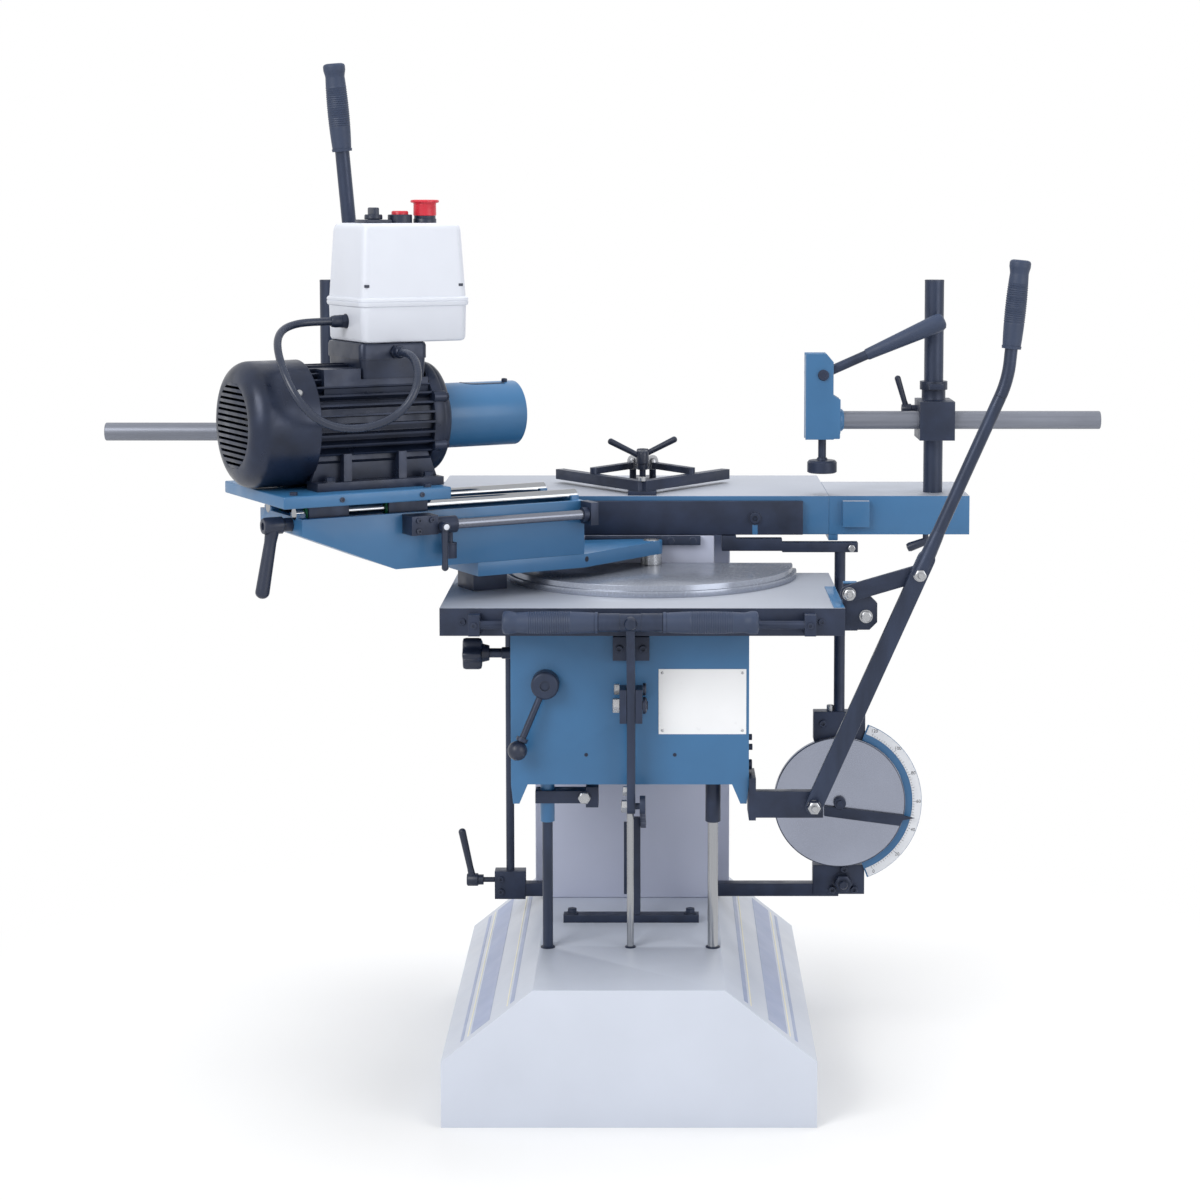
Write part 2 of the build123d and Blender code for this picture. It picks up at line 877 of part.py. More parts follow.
# Clamp handles of the fence, on studs in the centre bar
for name, side, place in (("left", -1, fence_left_place), ("right", 1, fence_right_place)):
    with BuildPart() as fence_handle:
        stud_y = fence_y + place
        stud_top = (fence_x, stud_y, fence_high + fence_stud_rise)
        rod((fence_x, stud_y, fence_low + slide_gap), stud_top, fence_stud_radius)
        reach = (side * fence_handle_reach, 0, fence_handle_climb)
        clamp_handle(stud_top, (0, 0, 1), reach, hub_length=fence_hub_length)
    fence_handle.part.label = f"fence_handle_{name}"
    export_step(fence_handle.part, f"parts/fence_handle_{name}.step")

# Hexagon bolts and socket screws of the frame
with BuildPart() as frame_bolts:
    for side in (-1, 1):
        with BuildSketch(WORLD.offset(base_height + cross_bar_height)):
            with Locations((side * (cross_bar_length / 2 - cross_bolt_inset), upright_y)):
                RegularPolygon(bolt_hex_radius, 6)
        extrude(amount=bolt_head_height)
        with BuildSketch(side_plane(table_front - front_plate_thickness)):
            with Locations((side * front_screw_x, table_top_z - front_plate_drop - front_plate_height / 2)):
                Circle(front_screw_radius)
                RegularPolygon(front_screw_socket, 6, mode=Mode.SUBTRACT)
        extrude(amount=bolt_head_height)
    with BuildSketch(side_plane(block_y[0])):
        bolt_z = lower_z + dial_bolt_rise
        with Locations((dial_x + dial_bolt_x, bolt_z), (dial_x - dial_bolt_x, bolt_z)):
            RegularPolygon(bolt_hex_radius, 6)
    extrude(amount=bolt_head_height)
frame_bolts.part.label = "frame_bolts"
export_step(frame_bolts.part, "parts/frame_bolts.step")

# Knee: a box casting, open below, that runs on the column's front face
with BuildPart() as knee:
    half = knee_width / 2
    knee_rear = column_front - slide_gap
    inner = half - knee_wall
    block((-half, half), (knee_front, knee_rear), (knee_bottom, knee_top))
    block(
        (-inner, inner),
        (knee_front + knee_wall, knee_rear - knee_rear_wall),
        (knee_bottom, knee_top - knee_wall),
        mode=Mode.SUBTRACT,
    )
    rib_rear = knee_front + knee_wall + knee_rib_depth
    block((-inner, inner), (knee_front + knee_wall, rib_rear), (knee_bottom, knee_bottom + knee_rib_height))
    block(
        (-half, half),
        (guide_bar_y - guide_bar_width / 2, guide_bar_y + guide_bar_width / 2),
        (knee_top, knee_top + guide_bar_height),
    )
    for side in (-1, 1):
        prism(
            [
                (side * half, knee_bottom),
                (side * (half - knee_tab_taper), knee_bottom - knee_tab_drop),
                (side * (half - knee_wall), knee_bottom - knee_tab_drop),
                (side * (half - 2 * knee_wall), knee_bottom),
            ],
            side_plane(knee_front + knee_wall),
            knee_wall,
        )
        guide = side * guide_rod_x
        rod((guide, guide_rod_y, knee_bottom - boss_drop), (guide, guide_rod_y, knee_bottom), boss_radius)
        rod(
            (guide, guide_rod_y, knee_bottom - boss_drop),
            (guide, guide_rod_y, knee_bottom + knee_rib_height),
            guide_rod_radius + pin_gap,
            mode=Mode.SUBTRACT,
        )
    rod(
        (0, guide_rod_y, knee_bottom),
        (0, guide_rod_y, knee_bottom + knee_rib_height),
        strut_rod_radius + slide_gap,
        mode=Mode.SUBTRACT,
    )
knee.part.label = "knee"
export_step(knee.part, "parts/knee.step")

# Gas strut cylinder inside the knee
with BuildPart() as strut_cylinder:
    strut_low = knee_bottom + knee_rib_height
    strut_high = knee_top - knee_wall
    rod((0, guide_rod_y, strut_low), (0, guide_rod_y, strut_high), strut_cylinder_radius)
    rod(
        (0, guide_rod_y, strut_low),
        (0, guide_rod_y, strut_high - free_gap),
        strut_rod_radius + pin_gap,
        mode=Mode.SUBTRACT,
    )
strut_cylinder.part.label = "strut_cylinder"
export_step(strut_cylinder.part, "parts/strut_cylinder.step")

# Black brackets on the knee: lift lever bearing, upper guide and the collar arm on the left guide
with BuildPart() as knee_brackets:
    lever_left = lever_x - lever_thickness / 2
    lever_right = lever_x + lever_thickness / 2
    cheek_y = (lift_pivot_y - lift_cheek_overhang, knee_front)
    cheek_z = (lift_pivot_z - lift_cheek_half, lift_pivot_z + lift_cheek_half)
    block((lever_left - lift_cheek, lever_left - slide_gap), cheek_y, cheek_z)
    block((lever_right + slide_gap, lever_right + lift_cheek), cheek_y, cheek_z)
    rod(
        (lever_left - lift_pin_overhang, lift_pivot_y, lift_pivot_z),
        (lever_right + lift_pin_overhang, lift_pivot_y, lift_pivot_z),
        lift_pin_radius,
    )
    upper_high = knee_top - upper_bracket_drop
    block(
        (lever_x - upper_bracket_half, lever_x + upper_bracket_half),
        (knee_front - upper_bracket_depth, knee_front),
        (upper_high - upper_bracket_height, upper_high),
    )
    collar_low = knee_bottom - collar_drop
    collar_high = knee_bottom - collar_gap
    collar_y = (guide_rod_y - collar_half, guide_rod_y + collar_half)
    block(
        (-guide_rod_x - collar_overhang, collar_end - collar_block),
        collar_y,
        (collar_low + collar_arm_inset, collar_high - collar_arm_inset),
    )
    block((collar_end - collar_block, collar_end), collar_y, (collar_low, collar_high))
    rod(
        (-guide_rod_x, guide_rod_y, collar_low),
        (-guide_rod_x, guide_rod_y, knee_bottom),
        boss_radius,
        mode=Mode.SUBTRACT,
    )
knee_brackets.part.label = "knee_brackets"
export_step(knee_brackets.part, "parts/knee_brackets.step")

# Fulcrum arm on the knee's right side, with the traverse lever's pin
with BuildPart() as fulcrum_arm:
    side_x = knee_width / 2
    arm_y = (fulcrum_y, fulcrum_y + fulcrum_arm_depth)
    half = fulcrum_arm_height / 2
    flange_x = side_x + fulcrum_flange
    block(
        (side_x, flange_x),
        (fulcrum_y, fulcrum_y + fulcrum_flange_depth),
        (fulcrum_z - half - fulcrum_flange_drop, fulcrum_flange_top),
    )
    block((flange_x, fulcrum_x + fulcrum_end), arm_y, (fulcrum_z - half, fulcrum_z + half))
    nut_y = fulcrum_y - lever_bar_depth - slide_gap * 2
    rod((fulcrum_x, arm_y[1], fulcrum_z), (fulcrum_x, nut_y, fulcrum_z), fulcrum_pin_radius)
    with BuildSketch(side_plane(nut_y)):
        with Locations((fulcrum_x, fulcrum_z)):
            RegularPolygon(fulcrum_nut_radius, 6)
    extrude(amount=fulcrum_nut_height)
fulcrum_arm.part.label = "fulcrum_arm"
export_step(fulcrum_arm.part, "parts/fulcrum_arm.step")

# Ball crank on the knee's front, on its stud
with BuildPart() as knee_crank:
    crank = Vector(crank_x, knee_front - slide_gap, crank_z)
    crank_hub = crank + Vector(0, -crank_hub_length / 2, 0)
    ball_seat = crank_reach.normalized() * crank_ball_radius * 0.4
    rod(crank, crank + Vector(0, -crank_hub_length, 0), crank_hub_radius)
    rod(crank_hub, crank_hub + crank_reach - ball_seat, crank_rod_radius)
    ball(crank_hub + crank_reach, crank_ball_radius)
knee_crank.part.label = "knee_crank"
export_step(knee_crank.part, "parts/knee_crank.step")

# Lobed knob at the knee's left
with BuildPart() as knee_knob:
    knob = Vector(-knee_width / 2 - slide_gap, knob_y, knob_z)
    knob_seat = knob + Vector(-knob_shaft_length, 0, 0)
    knob_depth = Vector(-knob_length, 0, 0)
    rod(knob, knob_seat, knob_shaft_radius)
    rod(knob_seat, knob_seat + knob_depth, knob_radius)
    for lobe in range(knob_lobes):
        turn = 2 * pi * lobe / knob_lobes
        lobe_at = knob_seat + Vector(0, lobe_circle * cos(turn), lobe_circle * sin(turn))
        rod(lobe_at, lobe_at + knob_depth, lobe_radius)
knee_knob.part.label = "knee_knob"
export_step(knee_knob.part, "parts/knee_knob.step")

# Lift lever: flat bar from the lower pin over the knee's pivot to the cross handle
with BuildPart() as lift_lever:
    lever_face = across_plane(lever_left)
    bend = (lift_pivot_y, lift_pivot_z + lift_bend_rise)
    flat_link((lift_pivot_y, lift_end_z), bend, lever_half_width, lever_face, lever_thickness)
    flat_link(bend, (handle_y, handle_z), lever_half_width, lever_face, lever_thickness)
    rod(
        (lever_left, lift_pivot_y, lift_pivot_z),
        (lever_right, lift_pivot_y, lift_pivot_z),
        lift_pin_radius + pin_gap,
        mode=Mode.SUBTRACT,
    )
    end_pin = link_left + link_thickness + lift_end_pin_overhang
    rod((lever_left, lift_pivot_y, lift_end_z), (end_pin, lift_pivot_y, lift_end_z), lift_end_pin_radius)
    hub = handle_hub_width / 2
    rod((lever_x - hub, handle_y, handle_z), (lever_x + hub, handle_y, handle_z), handle_bar_radius)

with BuildPart() as lift_grips:
    for side in (-1, 1):
        start = lever_x + side * hub
        tip = start + side * (handle_grip_length - handle_grip_radius)
        rod((start, handle_y, handle_z), (tip, handle_y, handle_z), handle_grip_radius)
        ball((tip, handle_y, handle_z), handle_grip_radius)
        block(
            (min(start, start - side * handle_grip_radius), max(start, start - side * handle_grip_radius)),
            (handle_y - handle_grip_radius, handle_y + handle_grip_radius),
            (handle_z - handle_grip_radius, handle_z + handle_grip_radius),
            mode=Mode.SUBTRACT,
        )
lift_pieces = Compound(label="lift_lever", children=[lift_lever.part, lift_grips.part])
export_step(lift_pieces, "parts/lift_lever.step")

# Lift link from the upright's pin to the lever's lower pin, which runs in a slot
with BuildPart() as lift_link:
    link_face = across_plane(link_left)
    upright_pin = (upright_y, upright_z)
    lever_pin = (lift_pivot_y, lift_end_z)
    flat_link(upright_pin, lever_pin, link_half_width, link_face, link_thickness)
    run = Vector(*lever_pin) - Vector(*upright_pin)
    half_travel = run.normalized() * link_slot_travel / 2
    past = Vector(*lever_pin) + half_travel
    before = Vector(*lever_pin) - half_travel
    flat_link((before.X, before.Y), (past.X, past.Y), link_eye_half, link_face, link_thickness)
    rod(
        (link_left, *upright_pin),
        (link_left + link_thickness, *upright_pin),
        link_pin_radius + pin_gap,
        mode=Mode.SUBTRACT,
    )
    with BuildSketch(link_face) as slot:
        SlotCenterToCenter(link_slot_travel, link_slot_width)
    turn = degrees(atan2(run.Y, run.X))
    to_pin = link_face.location * Location((*lever_pin, 0), (0, 0, turn)) * link_face.location.inverse()
    extrude(slot.sketch.moved(to_pin), amount=link_thickness, mode=Mode.SUBTRACT)
lift_link.part.label = "lift_link"
export_step(lift_link.part, "parts/lift_link.step")

# Cross-slide plate with its guide groove and the bore of the swivel pin
with BuildPart() as plate:
    plate_low = knee_top + slide_gap
    block((plate_left, plate_right), (plate_front, plate_rear), (plate_low, plate_top))
    groove = guide_bar_width / 2 + slide_gap
    block(
        (plate_left, plate_right),
        (guide_bar_y - groove, guide_bar_y + groove),
        (plate_low, knee_top + guide_bar_height + slide_gap),
        mode=Mode.SUBTRACT,
    )
    pin_hole = pivot_pin_radius + pin_gap
    rod((pivot_x, pivot_y, plate_low), (pivot_x, pivot_y, plate_top), pin_hole, mode=Mode.SUBTRACT)
plate.part.label = "plate"
export_step(plate.part, "parts/plate.step")

# Black fittings of the plate: front rail on two clips, and the link bracket at the right
lever_rear = fulcrum_y - slide_gap
lever_front = lever_rear - lever_bar_depth
link_y = (fulcrum_y, fulcrum_y + link_thickness)
with BuildPart() as plate_fittings:
    clip_places = (plate_left + clip_inset, plate_right - clip_inset)
    for middle in clip_places:
        block(
            (middle - clip_width / 2, middle + clip_width / 2),
            (rail_y - clip_overhang, plate_front),
            (rail_z - clip_half_height, rail_z + clip_half_height),
        )
    rod((clip_places[0], rail_y, rail_z), (clip_places[1], rail_y, rail_z), rail_radius)
    bracket_y = link_y[1] + slide_gap
    block(
        (plate_right, plate_pin_x + bracket_half),
        (bracket_y, bracket_y + bracket_depth),
        (plate_low, plate_pin_z + bracket_half),
    )
    stop_bracket = [
        (plate_right, stop_bracket_low),
        (stop_bracket_end - stop_bracket_chamfer, stop_bracket_low),
        (stop_bracket_end, stop_bracket_low + stop_bracket_chamfer),
        (stop_bracket_end, stop_bracket_top - stop_bracket_chamfer),
        (stop_bracket_end - stop_bracket_chamfer, stop_bracket_top),
        (plate_right, stop_bracket_top),
    ]
    prism(stop_bracket, side_plane(bracket_y + bracket_depth), bracket_depth)
    nut_y = link_y[0] - slide_gap
    rod((plate_pin_x, bracket_y, plate_pin_z), (plate_pin_x, nut_y, plate_pin_z), plate_pin_radius)
    with BuildSketch(side_plane(nut_y)):
        with Locations((plate_pin_x, plate_pin_z)):
            RegularPolygon(pin_nut_radius, 6)
    extrude(amount=pin_nut_height)
plate_fittings.part.label = "plate_fittings"
export_step(plate_fittings.part, "parts/plate_fittings.step")

# Swivel disc: two tiers, cut straight behind the pin
with BuildPart() as segment_disc:
    rod((pivot_x, pivot_y, plate_top), (pivot_x, pivot_y, plate_top + disc_lower), disc_radius)
    rod((pivot_x, pivot_y, plate_top + disc_lower), (pivot_x, pivot_y, disc_top), disc_radius - disc_tier)
    block(
        (pivot_x - disc_radius, pivot_x + disc_radius),
        (disc_rear, pivot_y + disc_radius),
        (plate_top, disc_top),
        mode=Mode.SUBTRACT,
    )
    rod((pivot_x, pivot_y, plate_top), (pivot_x, pivot_y, disc_top), pin_hole, mode=Mode.SUBTRACT)
segment_disc.part.label = "segment_disc"
export_step(segment_disc.part, "parts/segment_disc.step")

# Traverse lever: flat bar from the fulcrum, round rod, bend and grip
with BuildPart() as traverse_lever:
    lever_mid = (lever_front + lever_rear) / 2
    lever_run = Vector(lever_bend_x - fulcrum_x, lever_bend_z - fulcrum_z)
    bar_end = Vector(fulcrum_x, fulcrum_z) + lever_run.normalized() * lever_bar_length
    lever_back = side_plane(lever_rear)
    bar_points = ((fulcrum_x, fulcrum_z), (bar_end.X, bar_end.Y))
    flat_link(*bar_points, lever_bar_width / 2, lever_back, lever_bar_depth)
    rod(
        (fulcrum_x, lever_rear, fulcrum_z),
        (fulcrum_x, lever_front, fulcrum_z),
        fulcrum_pin_radius + pin_gap,
        mode=Mode.SUBTRACT,
    )
    rod((bar_end.X, lever_mid, bar_end.Y), (lever_bend_x, lever_mid, lever_bend_z), lever_rod_radius)
    ball((lever_bend_x, lever_mid, lever_bend_z), lever_rod_radius)
    grip_run = Vector(lever_top_x - lever_bend_x, 0, lever_top_z - lever_bend_z)
    grip_low = Vector(lever_top_x, lever_mid, lever_top_z) - grip_run.normalized() * lever_grip_length
    grip_seat = grip_low + grip_run.normalized() * grip_seat_depth
    rod((lever_bend_x, lever_mid, lever_bend_z), grip_seat, lever_rod_radius)
    with BuildSketch(side_plane(lever_front)):
        with Locations((link_pin_x, link_pin_z)):
            RegularPolygon(pin_nut_radius, 6)
    extrude(amount=pin_nut_height)

with BuildPart() as traverse_grip:
    grip_high = Vector(lever_top_x, lever_mid, lever_top_z) - grip_run.normalized() * lever_grip_radius
    rod(grip_low, grip_high, lever_grip_radius)
    ball(grip_high, lever_grip_radius)
    rod(grip_low, grip_seat, lever_rod_radius, mode=Mode.SUBTRACT)
traverse_pieces = Compound(label="traverse_lever", children=[traverse_lever.part, traverse_grip.part])
export_step(traverse_pieces, "parts/traverse_lever.step")

with BuildPart() as traverse_link:
    link_back = side_plane(link_y[1])
    link_pins = ((plate_pin_x, plate_pin_z), (link_pin_x, link_pin_z))
    flat_link(*link_pins, traverse_link_half, link_back, link_thickness)
    rod(
        (plate_pin_x, link_y[0], plate_pin_z),
        (plate_pin_x, link_y[1], plate_pin_z),
        plate_pin_radius + pin_gap,
        mode=Mode.SUBTRACT,
    )
traverse_link.part.label = "traverse_link"
export_step(traverse_link.part, "parts/traverse_link.step")

# Swivel arm: a plate under the slide housing that narrows to the pin
with BuildPart() as swivel_arm:
    block((arm_rear, housing_front), (-housing_half, housing_half), (arm_bottom, arm_top), HEAD)
    prism(
        [
            (housing_front, -housing_half),
            (0, -arm_end_radius),
            (0, arm_end_radius),
            (housing_front, housing_half),
        ],
        HEAD.offset(arm_bottom),
        arm_thickness,
    )
    rod((0, 0, arm_bottom), (0, 0, arm_top), arm_end_radius, HEAD)
    rod((0, 0, disc_top + slide_gap), (0, 0, arm_bottom), arm_boss_radius, HEAD)
    rod((0, 0, plate_top - pivot_pin_length), (0, 0, arm_top), pivot_pin_radius, HEAD)
swivel_arm.part.label = "swivel_arm"
export_step(swivel_arm.part, "parts/swivel_arm.step")

# Slide housing: a channel with a sloped rear, end plates, rail stands and the feed lever's shaft
with BuildPart() as slide_housing:
    inner = housing_half - housing_wall
    rear_low = housing_top - housing_rear_height
    wall = [
        (housing_rear, housing_top),
        (housing_rear, rear_low),
        (housing_slope_end, arm_top),
        (housing_front, arm_top),
        (housing_front, housing_top),
    ]
    prism(wall, head_side(housing_half), housing_wall)
    prism(wall, head_side(-inner), housing_wall)
    block((housing_slope_end, housing_front), (-inner, inner), (arm_top, arm_top + housing_wall), HEAD)
    prism(
        [
            (housing_rear, rear_low),
            (housing_slope_end, arm_top),
            (housing_slope_end, arm_top + housing_wall),
            (housing_rear, rear_low + housing_wall),
        ],
        head_side(inner),
        2 * inner,
    )
    for near in (housing_rear, housing_front - housing_end_plate):
        end = (near, near + housing_end_plate)
        low = rear_low if near == housing_rear else arm_top
        block(end, (-inner, inner), (low, housing_top), HEAD)
        for side in (-1, 1):
            middle = side * slide_rail_v
            stand = (middle - rail_stand_half, middle + rail_stand_half)
            block(end, stand, (housing_top, rail_stand_top), HEAD)
    for side in (-1, 1):
        rod(
            (housing_rear, side * slide_rail_v, slide_rail_z),
            (housing_front, side * slide_rail_v, slide_rail_z),
            slide_rail_radius,
            HEAD,
            mode=Mode.SUBTRACT,
        )
    rod((feed_u, inner, feed_z), (feed_u, feed_v - slide_gap, feed_z), feed_boss_radius, HEAD)
    shaft_end = feed_v + feed_thickness + feed_shaft_overhang
    rod((feed_u, inner, feed_z), (feed_u, shaft_end, feed_z), feed_rod_radius, HEAD)
slide_housing.part.label = "slide_housing"
export_step(slide_housing.part, "parts/slide_housing.step")

with BuildPart() as slide_rails:
    for side in (-1, 1):
        rod(
            (housing_rear, side * slide_rail_v, slide_rail_z),
            (housing_front, side * slide_rail_v, slide_rail_z),
            slide_rail_radius,
            HEAD,
        )
slide_rails.part.label = "slide_rails"
export_step(slide_rails.part, "parts/slide_rails.step")

# Feed stop on the housing's front: clamp block, boss, rod, end plate and the clamp screw's knob
with BuildPart() as feed_stop:
    stop_face = -housing_half
    block(
        (feed_block_rear, feed_block_front),
        (stop_rod_v - feed_block_overhang, stop_face),
        (stop_rod_z - feed_block_drop, stop_rod_z + feed_block_rise),
        HEAD,
    )
    collar_ends = ((feed_collar_rear, stop_rod_v, stop_rod_z), (feed_collar_front, stop_rod_v, stop_rod_z))
    rod(*collar_ends, feed_collar_radius, HEAD)
    rod_end = (housing_front + end_bracket_half, stop_rod_v, stop_rod_z)
    rod((stop_rod_rear, stop_rod_v, stop_rod_z), rod_end, stop_rod_radius, HEAD)
    block(
        (housing_front - end_bracket_half, housing_front + end_bracket_half),
        (stop_rod_v - end_bracket_overhang, stop_face),
        (stop_rod_z - end_bracket_drop, housing_top),
        HEAD,
    )
    knob_top = (feed_knob_u, stop_rod_v, stop_rod_z - feed_knob_stem)
    knob_end = (feed_knob_u, stop_rod_v, stop_rod_z - feed_knob_stem - feed_knob_length)
    rod((feed_knob_u, stop_rod_v, stop_rod_z), knob_top, feed_knob_stem_radius, HEAD)
    rod(knob_top, knob_end, feed_knob_radius, HEAD)
    block((foot_rear, foot_front), (foot_near, foot_far), (plate_top + slide_gap, arm_bottom), HEAD)
feed_stop.part.label = "feed_stop"
export_step(feed_stop.part, "parts/feed_stop.step")

with BuildPart() as feed_stop_lever:
    hub_v = stop_rod_v - feed_collar_radius - slide_gap
    lever_v = hub_v - stop_lever_offset
    hub_start = (stop_lever_u, hub_v, stop_rod_z)
    rod(hub_start, (stop_lever_u, hub_v - stop_lever_hub_length, stop_rod_z), stop_lever_hub_radius, HEAD)
    lever_end = (stop_lever_u, lever_v, stop_rod_z - stop_lever_reach)
    rod((stop_lever_u, lever_v, stop_rod_z), lever_end, stop_lever_radius, HEAD)
    ball(lever_end, stop_lever_radius, HEAD)
feed_stop_lever.part.label = "feed_stop_lever"
export_step(feed_stop_lever.part, "parts/feed_stop_lever.step")

# Carriage lock at the housing's rear end
with BuildPart() as carriage_lock:
    clamp_handle(
        (housing_rear - slide_gap, lock_v, lock_z),
        (-1, 0, 0),
        (0, 0, -lock_reach),
        HEAD,
        hub_radius=lock_hub_radius,
        hub_length=lock_hub_length,
        lift=lock_lift,
    )
carriage_lock.part.label = "carriage_lock"
export_step(carriage_lock.part, "parts/carriage_lock.step")

# Carriage plate and its linear bearings
with BuildPart() as carriage_plate:
    block(
        (carriage_rear, carriage_front),
        (-carriage_half, carriage_half),
        (carriage_bottom, carriage_top),
        HEAD,
    )
carriage_plate.part.label = "carriage_plate"
export_step(carriage_plate.part, "parts/carriage_plate.step")

with BuildPart() as slide_bearings:
    for start in bearing_starts:
        for side in (-1, 1):
            middle = side * slide_rail_v
            block(
                (start, start + bearing_length),
                (middle - bearing_half, middle + bearing_half),
                (slide_rail_z - bearing_drop, carriage_bottom),
                HEAD,
            )
            rod(
                (start, middle, slide_rail_z),
                (start + bearing_length, middle, slide_rail_z),
                slide_rail_radius + pin_gap,
                HEAD,
                mode=Mode.SUBTRACT,
            )
slide_bearings.part.label = "slide_bearings"
export_step(slide_bearings.part, "parts/slide_bearings.step")


def motor_plane(u):
    """A plane across the drill axis at a place along it, facing the drill."""
    return Plane(HEAD.location * Location((u, 0, motor_z)) * Plane.YZ.location)


def motor_rod(start, end, radius, mode=Mode.ADD):
    """A round piece on the drill axis."""
    rod((start, 0, motor_z), (end, 0, motor_z), radius, HEAD, mode)


# Motor: finned body with end shields and feet, bored for the shaft
with BuildPart() as motor_body:
    terminal_seat = motor_z + motor_core_radius - terminal_sink
    shield_rear = motor_front - shield_length
    with BuildSketch(motor_plane(cowl_front)):
        Circle(motor_core_radius)
        fin = motor_fin_radius - motor_core_radius + fin_root
        with PolarLocations(motor_fin_radius - fin / 2, motor_fins):
            Rectangle(fin, fin_thickness)
    extrude(amount=shield_rear - cowl_front)
    motor_rod(shield_rear, motor_front, shield_radius)
    front_edge = motor_body.edges().filter_by(GeomType.CIRCLE).sort_by(HEAD.location.x_axis)[-1]
    fillet(front_edge, shield_round)
    motor_rod(cowl_front - cowl_lap, cowl_front, cowl_radius - cowl_wall - pin_gap)
    foot_ends = (cowl_front - foot_lap, shield_rear + foot_reach)
    first_rib = cowl_front + foot_rib_inset
    rib_starts = (first_rib, first_rib + foot_rib_pitch)
    for side in (-1, 1):
        near = side * foot_inner
        far = side * foot_outer
        rib_far = side * foot_rib_outer
        block(foot_ends, (min(near, far), max(near, far)), (carriage_top, carriage_top + foot_height), HEAD)
        rib_v = (min(near, rib_far), max(near, rib_far))
        for rib in rib_starts:
            block((rib, rib + foot_rib_length), rib_v, (carriage_top, motor_z - foot_rib_drop), HEAD)
    block(
        (motor_pad_rear, terminal_front),
        (-terminal_half, terminal_half),
        (motor_z + motor_pad_low, motor_z + motor_pad_rise),
        HEAD,
    )
    block(
        (terminal_rear, terminal_front),
        (-terminal_half, terminal_half),
        (terminal_seat, motor_z + motor_fin_radius),
        HEAD,
        Mode.SUBTRACT,
    )
    motor_rod(cowl_front - cowl_lap, motor_front, shaft_radius + pin_gap, Mode.SUBTRACT)
motor_body.part.label = "motor_body"
export_step(motor_body.part, "parts/motor_body.step")

# Fan cowl with air slots in its rear face
with BuildPart() as fan_cowl:
    motor_rod(cowl_rear, cowl_front, cowl_radius)
    rear_edge = fan_cowl.edges().filter_by(GeomType.CIRCLE).sort_by(HEAD.location.x_axis)[0]
    fillet(rear_edge, cowl_round)
    motor_rod(cowl_rear + cowl_round, cowl_front, cowl_radius - cowl_wall, Mode.SUBTRACT)
    motor_rod(cowl_rear + cowl_wall, cowl_rear + cowl_round, cowl_radius - cowl_round, Mode.SUBTRACT)
    slot_pitch = 2 * (cowl_radius - cowl_slot_margin) / (cowl_slots - 1)
    for row in range(cowl_slots):
        height = -cowl_radius + cowl_slot_margin + row * slot_pitch
        reach = ((cowl_radius - cowl_round - cowl_wall) ** 2 - height**2) ** 0.5
        block(
            (cowl_rear, cowl_rear + cowl_wall),
            (-reach, reach),
            (motor_z + height - cowl_slot_half, motor_z + height + cowl_slot_half),
            HEAD,
            Mode.SUBTRACT,
        )
fan_cowl.part.label = "fan_cowl"
export_step(fan_cowl.part, "parts/fan_cowl.step")

# Spindle: rotor shaft with the fan at its rear and the drill chuck at its front
with BuildPart() as spindle:
    fan_rear = cowl_rear + fan_offset
    motor_rod(fan_rear, chuck_rear, shaft_radius)
    motor_rod(fan_rear, fan_rear + fan_length, fan_hub_radius)
    for blade in range(fan_blades):
        turn = 360.0 * blade / fan_blades
        with Locations(motor_plane(fan_rear).location * Location((0, 0, 0), (0, 0, turn))):
            with Locations((fan_radius / 2, 0, fan_length / 2)):
                Box(fan_radius, blade_thickness, fan_length)
    motor_rod(chuck_rear, chuck_front, chuck_radius)
    motor_rod(chuck_front - tool_bore_depth, chuck_front, tool_bore_radius, Mode.SUBTRACT)
spindle.part.label = "spindle"
export_step(spindle.part, "parts/spindle.step")

# Chuck guard: a tube on the front shield, open at the drill end
with BuildPart() as chuck_guard:
    motor_rod(motor_front, guard_front, guard_radius)
    motor_rod(motor_front, guard_front, guard_radius - guard_wall, Mode.SUBTRACT)
chuck_guard.part.label = "chuck_guard"
export_step(chuck_guard.part, "parts/chuck_guard.step")

# Terminal box on the motor, with its cable gland
with BuildPart() as terminal_box:
    block(
        (terminal_rear, terminal_front),
        (-terminal_half, terminal_half),
        (terminal_seat, terminal_top),
        HEAD,
    )
    fillet(terminal_box.edges().filter_by(Axis.Z), terminal_round)
    rod(
        (terminal_gland_u, -terminal_half, terminal_gland_z),
        (terminal_gland_u, -terminal_half - terminal_gland_length, terminal_gland_z),
        gland_radius,
        HEAD,
    )
terminal_box.part.label = "terminal_box"
export_step(terminal_box.part, "parts/terminal_box.step")

# Control box: lower tray with the cable gland, and a tapered lid with button collars
with BuildPart() as control_box:
    box_ends = (box_middle - box_length / 2, box_middle + box_length / 2)
    block(box_ends, (-box_half, box_half), (terminal_top, box_lid_z), HEAD)
    block(
        (box_ends[0] - box_wall, box_ends[1] + box_wall),
        (-box_half - box_wall, box_half + box_wall),
        (box_lid_z - box_rim_height, box_lid_z),
        HEAD,
    )
    fillet(control_box.edges().filter_by(Axis.Z), box_round)
    block(
        (box_ends[0] + box_wall, box_ends[1] - box_wall),
        (-box_half + box_wall, box_half - box_wall),
        (terminal_top + box_wall, box_lid_z),
        HEAD,
        Mode.SUBTRACT,
    )
    rod((box_ends[0], gland_v, gland_z), (box_ends[0] - gland_length, gland_v, gland_z), gland_radius, HEAD)

